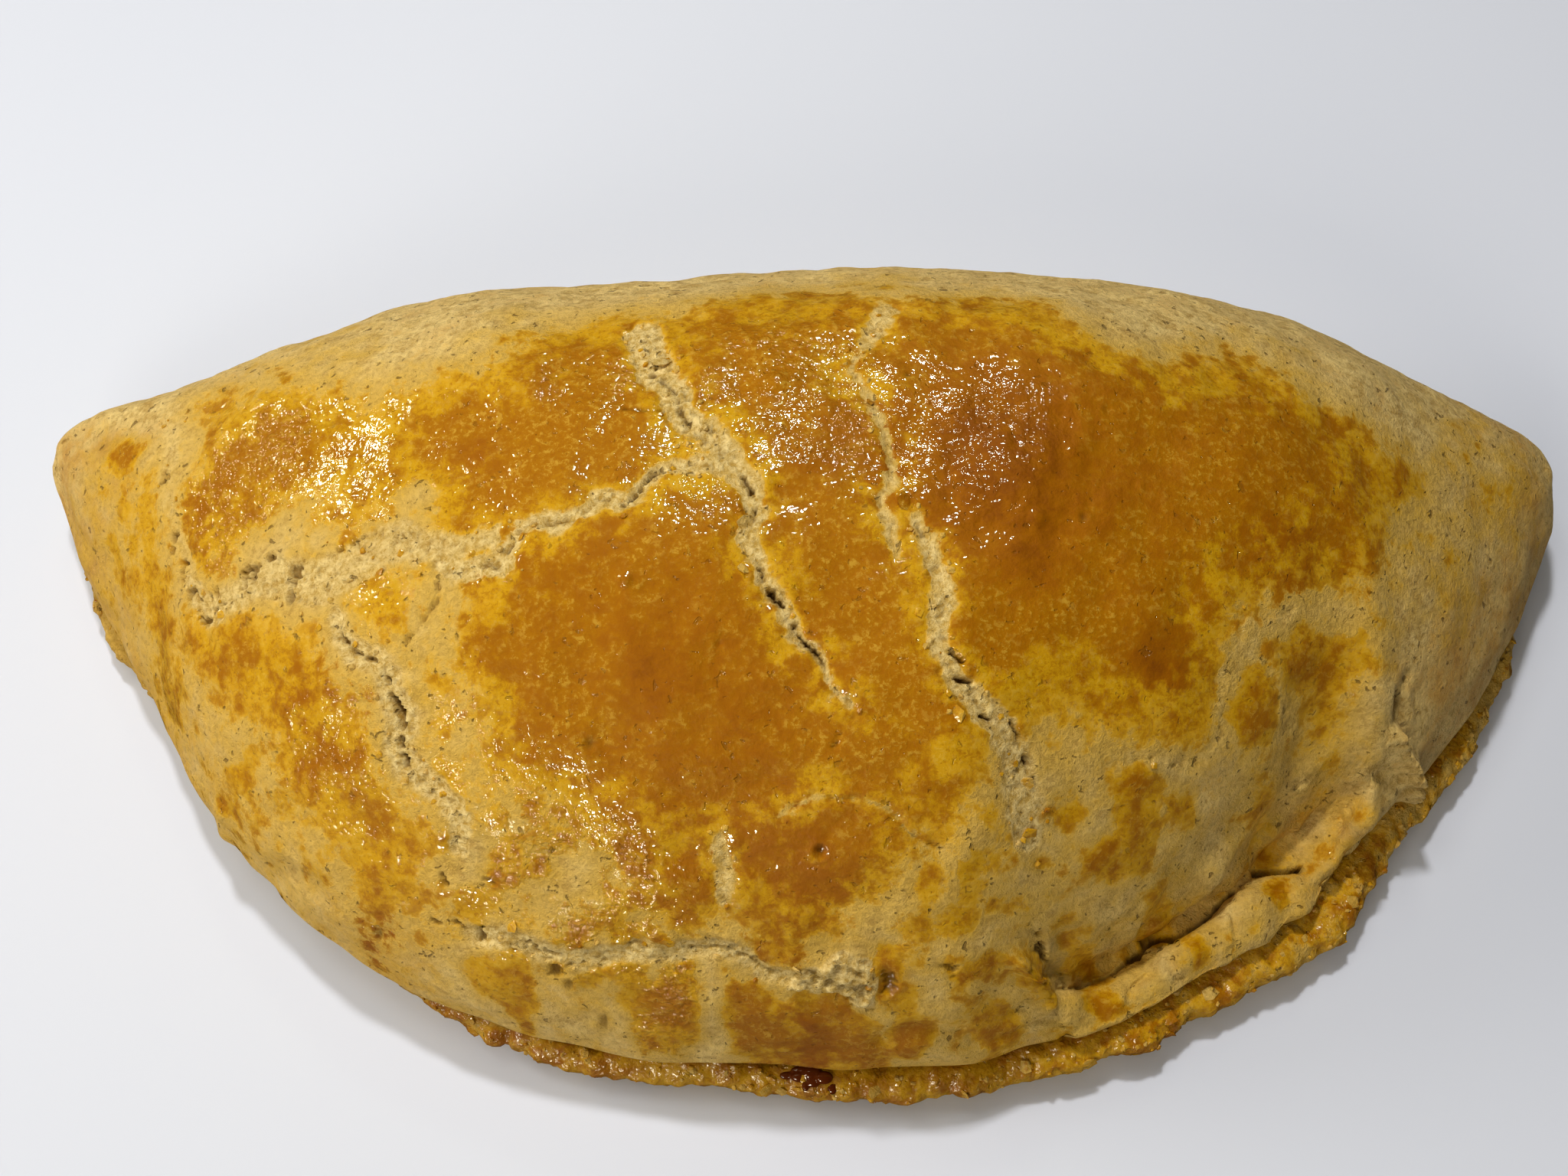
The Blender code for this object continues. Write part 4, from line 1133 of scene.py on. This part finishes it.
# The dark field's painted shade: in slits, holes, pits and the crevice under the dome's edge.
finish = blend(colours, given["Dark"], finish, SHADED_HOLE)
plug(colours, result["Color"], finish)
plug(colours, result["Glazed"], glazed)
print(colours.name, "has", len(colours.nodes), "nodes")


# %% The two crust materials
def use_group(tree, group, values):
    """A node that runs a group, with its inputs joined by name."""
    made = node(tree, "ShaderNodeGroup", node_tree=group)
    for title, value in values.items():
        plug(tree, made.inputs[title], value)
    return made.outputs


def read(tree, field):
    """A field that the mesh carries on its points."""
    return node(tree, "ShaderNodeAttribute", attribute_name=field).outputs["Fac"]


def crust_material(name, bare_roughness, glaze_roughness, grain_height, wrinkle_height):
    """Baked dough that reads its glaze and browning from the mesh. The heights are in millimetres."""
    material = bpy.data.materials.new(name)
    material.use_nodes = True
    tree = material.node_tree
    shader = tree.nodes["Principled BSDF"].inputs
    place = node(tree, "ShaderNodeTexCoord").outputs["Object"]
    dough = use_group(tree, grain, {"Place": place})
    looks = use_group(tree, colours, {title: read(tree, title.lower()) for title in READ_FIELDS}
                      | {title: dough[title] for title in READ_GRAIN})
    glazed_part = looks["Glazed"]
    puckered = between(tree, dough["Patches"], 0.2, 0.7, 0.4, 1.3)
    puckered = calc(tree, "ADD", calc(tree, "MULTIPLY", read(tree, "pucker"), puckered), 0.20)
    wrinkled = calc(tree, "MULTIPLY", dough["Wrinkles"], between(tree, glazed_part, 0.2, 1.0, 0.02, 1.0))
    wrinkled = calc(tree, "MULTIPLY", wrinkled, puckered)
    dimples = calc(tree, "MULTIPLY", dough["Pores"], glazed_part)
    wrinkled = calc(tree, "MULTIPLY_ADD", dimples, -0.15, wrinkled)
    rough = calc(tree, "SUBTRACT", calc(tree, "MULTIPLY", dough["Grain"], 0.5), dough["Pores"])
    rough = calc(tree, "MULTIPLY", rough, between(tree, glazed_part, 0.0, 1.0, 1.0, 0.2))
    rough = calc(tree, "MULTIPLY_ADD", rough, grain_height / wrinkle_height,
                 calc(tree, "MULTIPLY", wrinkled, 0.3))
    for socket, height in (("Normal", rough), ("Coat Normal", wrinkled)):
        bump = node(tree, "ShaderNodeBump")
        bump.inputs["Distance"].default_value = wrinkle_height * MM
        plug(tree, bump.inputs["Height"], height)
        plug(tree, shader[socket], bump.outputs["Normal"])
    for socket, value in (("Base Color", looks["Color"]), ("Roughness", bare_roughness),
                          ("Specular IOR Level", 0.12), ("Coat Weight", glazed_part),
                          ("Coat Roughness", glaze_roughness)):
        plug(tree, shader[socket], value)
    return material


crumb_finish = crust_material("crumb", 0.60, 0.20, 0.20, 0.30)
for piece, finish in ((cover, crust_material("glazed cover", 0.62, 0.06, 0.20, 0.50)),
                      (bottom_sheet, crust_material("crumbly sheet", 0.60, 0.24, 0.30, 0.40))):
    piece.data.materials.append(finish)
    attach(piece, "root")
    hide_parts("pastry")
print("finished", cover.name, "and", bottom_sheet.name)

# %% [markdown]
# ## Crumbs and flakes
# Crumbs lie where the dough broke: on the lip, where it was cut, and along the tears. Each is a bit of the
# same dough, some of it pale and some of it glazed. One set of geometry nodes scatters them: it puts
# points on the crust, more where the "crumbs" field is high, and sets a small rough stone on each. Used
# again with flat, bigger stones it makes the flakes. The seeds are fixed.

# %% The nodes that scatter bits of dough
def scattering():
    """A node tree that scatters small bits over two pieces."""
    tree = bpy.data.node_groups.new("scattered bits", "GeometryNodeTree")
    for title, kind in (("Geometry", "Geometry"), ("Cover", "Object"), ("Sheet", "Object"),
                        ("Finish", "Material"), ("Density", "Float"), ("Smallest", "Float"),
                        ("Largest", "Float"), ("Thickness", "Float"), ("Seed", "Int")):
        tree.interface.new_socket(title, in_out="INPUT", socket_type="NodeSocket" + kind)
    tree.interface.new_socket("Geometry", in_out="OUTPUT", socket_type="NodeSocketGeometry")
    inputs = node(tree, "NodeGroupInput").outputs

    def add(kind, **given):
        """A node's outputs, with its inputs joined by name, with underscores for spaces."""
        made = node(tree, kind)
        for title, value in given.items():
            plug(tree, made.inputs[title.replace("_", " ")], value)
        return made.outputs

    def chance(low, high, seed):
        """A number drawn for each bit."""
        made = node(tree, "FunctionNodeRandomValue")
        for socket, value in ((made.inputs[2], low), (made.inputs[3], high), (made.inputs["Seed"], seed)):
            plug(tree, socket, value)
        return made.outputs[1]

    joined = node(tree, "GeometryNodeJoinGeometry")
    for title in ("Sheet", "Cover"):
        tree.links.new(add("GeometryNodeObjectInfo", Object=inputs[title])["Geometry"], joined.inputs[0])
    wanted = add("GeometryNodeInputNamedAttribute", Name="crumbs")["Attribute"]
    spread = add("GeometryNodeDistributePointsOnFaces", Mesh=joined.outputs[0], Seed=inputs["Seed"],
                 Density=calc(tree, "MULTIPLY", wanted, inputs["Density"]))

    uneven = add("ShaderNodeTexNoise", Scale=0.9)["Color"]
    pushed = node(tree, "ShaderNodeVectorMath", uneven, (0.5, 0.5, 0.5), operation="SUBTRACT").outputs[0]
    pushed = node(tree, "ShaderNodeVectorMath", pushed, operation="SCALE")
    pushed.inputs["Scale"].default_value = 1.6
    stone = add("GeometryNodeMeshIcoSphere", Radius=1.0, Subdivisions=1)["Mesh"]
    stone = add("GeometryNodeSetPosition", Geometry=stone, Offset=pushed.outputs[0])[0]

    size = chance(inputs["Smallest"], inputs["Largest"], inputs["Seed"])
    shape = node(tree, "ShaderNodeCombineXYZ", size, calc(tree, "MULTIPLY", size, chance(0.6, 1.3, 7)),
                 calc(tree, "MULTIPLY", size, inputs["Thickness"])).outputs[0]
    spun = node(tree, "FunctionNodeRandomValue", (-0.5, -0.5, -3.14), (0.5, 0.5, 3.14),
                data_type="FLOAT_VECTOR").outputs[0]
    spun = node(tree, "FunctionNodeEulerToRotation", spun).outputs[0]
    turned = node(tree, "FunctionNodeRotateRotation", spread["Rotation"], spun, rotation_space="LOCAL")
    placed = add("GeometryNodeInstanceOnPoints", Points=spread["Points"], Instance=stone,
                 Rotation=turned.outputs[0], Scale=shape)[0]
    kept = node(tree, "GeometryNodeStoreNamedAttribute", placed, domain="INSTANCE")
    plug(tree, kept.inputs["Name"], "glaze")
    plug(tree, kept.inputs["Value"], chance(-1.6, 1.8, 11))
    real = add("GeometryNodeRealizeInstances", Geometry=kept.outputs[0])[0]
    finished = add("GeometryNodeSetMaterial", Geometry=real, Material=inputs["Finish"])[0]
    node(tree, "NodeGroupOutput", finished)
    return tree


bits = scattering()
print(bits.name, "has", len(bits.nodes), "nodes")

# %% Scatter the crumbs and the flakes
def made_plain(name, host):
    """The host's finished shape as a plain object of its own. The host goes."""
    bpy.context.view_layer.update()
    mesh = bpy.data.meshes.new_from_object(host.evaluated_get(bpy.context.evaluated_depsgraph_get()))
    mesh.name = name
    bpy.data.objects.remove(host)
    return put_in_scene(name, mesh)


def scattered(name, tree, **values):
    """A plain mesh piece from what the scattering nodes make."""
    host = put_in_scene(name + " host", bpy.data.meshes.new(name + " host"))
    modifier = host.modifiers.new("scatter", "NODES")
    modifier.node_group = tree
    for item in tree.interface.items_tree:
        if item.in_out == "INPUT" and item.name in values:
            modifier[item.identifier] = values[item.name]
    return made_plain(name, host)


shared = {"Cover": cover, "Sheet": bottom_sheet, "Finish": crumb_finish}
crumbs = scattered("crumbs", bits, **shared, Density=9.0e5, Smallest=0.10 * MM, Largest=0.34 * MM,
                   Thickness=0.8, Seed=3)
flakes = scattered("flakes", bits, **shared, Density=7.0e4, Smallest=0.35 * MM, Largest=0.80 * MM,
                   Thickness=0.3, Seed=5)
for piece in (crumbs, flakes):
    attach(piece, "root")
    print(piece.name, len(piece.data.polygons), "faces")

# %% [markdown]
# ## The leaked gravy
# At the middle of the front a little gravy boiled out through the seal, ran over the lip and dried to a
# dark, shining drop. It is made of squashed drops that lie on the crust and run together.

# %% Gravy on the lip
DROPS = [  # x, y, half sizes along x, y and z
    (0.9, -36.9, 0.9, 0.7, 0.5), (-0.2, -37.2, 0.8, 0.5, 0.4), (1.9, -37.4, 0.8, 0.6, 0.45),
    (-1.3, -37, 0.7, 0.4, 0.3), (2.6, -38, 0.5, 0.7, 0.4), (1, -37.7, 0.6, 0.5, 0.35),
    (0.3, -38, 0.35, 0.5, 0.3), (0.4, -36.6, 1.4, 0.4, 0.35),
]


def plain_material(name, colour, roughness):
    """A material of one colour."""
    material = bpy.data.materials.new(name)
    material.use_nodes = True
    shader = material.node_tree.nodes["Principled BSDF"].inputs
    shader["Base Color"].default_value = colour
    shader["Roughness"].default_value = roughness
    return material


ground = BVHTree.FromPolygons([v.co / MM for v in bottom_sheet.data.vertices],
                              [tuple(p.vertices) for p in bottom_sheet.data.polygons])
blob = bmesh.new()
for x, y, wide, long, high in DROPS:
    hit = ground.ray_cast(Vector((x, y, 20.0)), Vector((0, 0, -1)))[0]
    for vertex in bmesh.ops.create_icosphere(blob, subdivisions=3, radius=1.0)["verts"]:
        out, back, up = vertex.co
        vertex.co = Vector((x + wide * out, y + long * back, hit.z + high * up)) * MM
host = put_in_scene("gravy drops", bpy.data.meshes.new("gravy drops"))
blob.to_mesh(host.data)
blob.free()
melt = host.modifiers.new("run together", "REMESH")
melt.mode = "VOXEL"
melt.voxel_size = 0.10 * MM
melt.use_smooth_shade = True
host.modifiers.new("relax", "SMOOTH").iterations = 8
gravy = made_plain("gravy", host)
gravy.data.materials.clear()
gravy.data.materials.append(plain_material("dried gravy", baked(92, 38, 8), 0.12))
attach(gravy, "root")
print("gravy:", len(gravy.data.polygons), "faces")

# %% [markdown]
# ## Floor, light and camera
# The pie lies on a plain white surface. Soft lights at the left, behind, above and in front model the
# dome, and the right is left to what the room gives back. A smooth glaze would mirror such broad lights
# as a white haze, so they are kept out of its mirror image, and small lamps that show nowhere else make
# the glints. The floor and the room are kept out of it too.

# %% The floor
HALF_FLOOR = 0.8

corners = [(-HALF_FLOOR, -HALF_FLOOR, 0), (HALF_FLOOR, -HALF_FLOOR, 0),
           (HALF_FLOOR, HALF_FLOOR, 0), (-HALF_FLOOR, HALF_FLOOR, 0)]
floor = put_in_scene("floor", bpy.data.meshes.new("floor"))
floor.data.from_pydata(corners, [], [(0, 1, 2, 3)])
floor.data.materials.append(plain_material("white table top", (0.745, 0.78, 0.865, 1.0), 0.6))
floor.visible_glossy = False
print("floor of", 2 * HALF_FLOOR, "m")


# %% The lights
def panel(name, place, size, power, colour, mirrored=False):
    """A rectangular light that faces the pie: either soft light, which leaves no mirror image in the glaze,
    or a lamp that is there only as its mirror image, for the glints."""
    light = bpy.data.lights.new(name, "AREA")
    light.shape = "RECTANGLE"
    light.size, light.size_y = size
    light.energy = power
    light.color = colour
    made = put_in_scene(name, light)
    made.location = place
    made.visible_glossy = mirrored
    made.visible_diffuse = not mirrored
    made.rotation_euler = (Vector((0.0, 0.0, 0.02)) - Vector(place)).to_track_quat("-Z", "Y").to_euler()


panel("soft light at the left", (-0.45, 0.05, 0.25), (0.24, 0.16), 1.15, (1.0, 0.96, 0.88))
panel("soft light above", (-0.02, -0.08, 0.45), (0.20, 0.20), 0.12, (1.0, 0.98, 0.94))
panel("soft light behind", (-0.045, 0.13, 0.45), (0.035, 0.035), 1.00, (1.0, 0.985, 0.98))
panel("soft light in front", (-0.14, -0.34, 0.26), (0.20, 0.15), 0.52, (1.0, 0.93, 0.78))
panel("soft light above, left", (-0.15, 0.08, 0.50), (0.15, 0.15), 0.34, (1.0, 0.98, 0.94))
panel("lamp behind", (-0.01, 0.30, 0.46), (0.07, 0.035), 1.10, (0.92, 1.0, 0.84), mirrored=True)
panel("lamp at the left", (-0.42, 0.24, 0.24), (0.07, 0.05), 0.7, (1.0, 0.88, 0.60), mirrored=True)
panel("lamp in front", (-0.24, -0.38, 0.18), (0.08, 0.05), 1.3, (1.0, 0.92, 0.70), mirrored=True)
panel("lamp in front, left", (-0.38, -0.24, 0.24), (0.06, 0.05), 0.35, (1.0, 0.86, 0.60), mirrored=True)
scene = bpy.context.scene
scene.world = bpy.data.worlds.new("room")
scene.world.use_nodes = True
room = scene.world.node_tree.nodes["Background"].inputs
room["Color"].default_value = (1.0, 0.97, 0.93, 1.0)
room["Strength"].default_value = 0.05
scene.world.cycles_visibility.glossy = False
scene.view_settings.view_transform = "Standard"

# %% The camera
CAMERA_PLACE = (-0.00155, -0.0871, 0.1881)
LOOKS_DOWN = 62.0
VIEW_ANGLE = 40.0

lens = bpy.data.cameras.new("camera")
lens.sensor_width = 36.0
lens.lens = 0.5 * lens.sensor_width / math.tan(math.radians(VIEW_ANGLE / 2))
lens.clip_start = 0.005
camera = put_in_scene("camera", lens)
camera.location = CAMERA_PLACE
camera.rotation_euler = (math.radians(90 - LOOKS_DOWN), 0, 0)
scene.camera = camera
print(f"camera with a {lens.lens:.0f} mm lens, looking down {LOOKS_DOWN:.0f} degrees")

# %% [markdown]
# ## Bring the scene up to date

# %% Bring the scene up to date
bpy.context.view_layer.update()
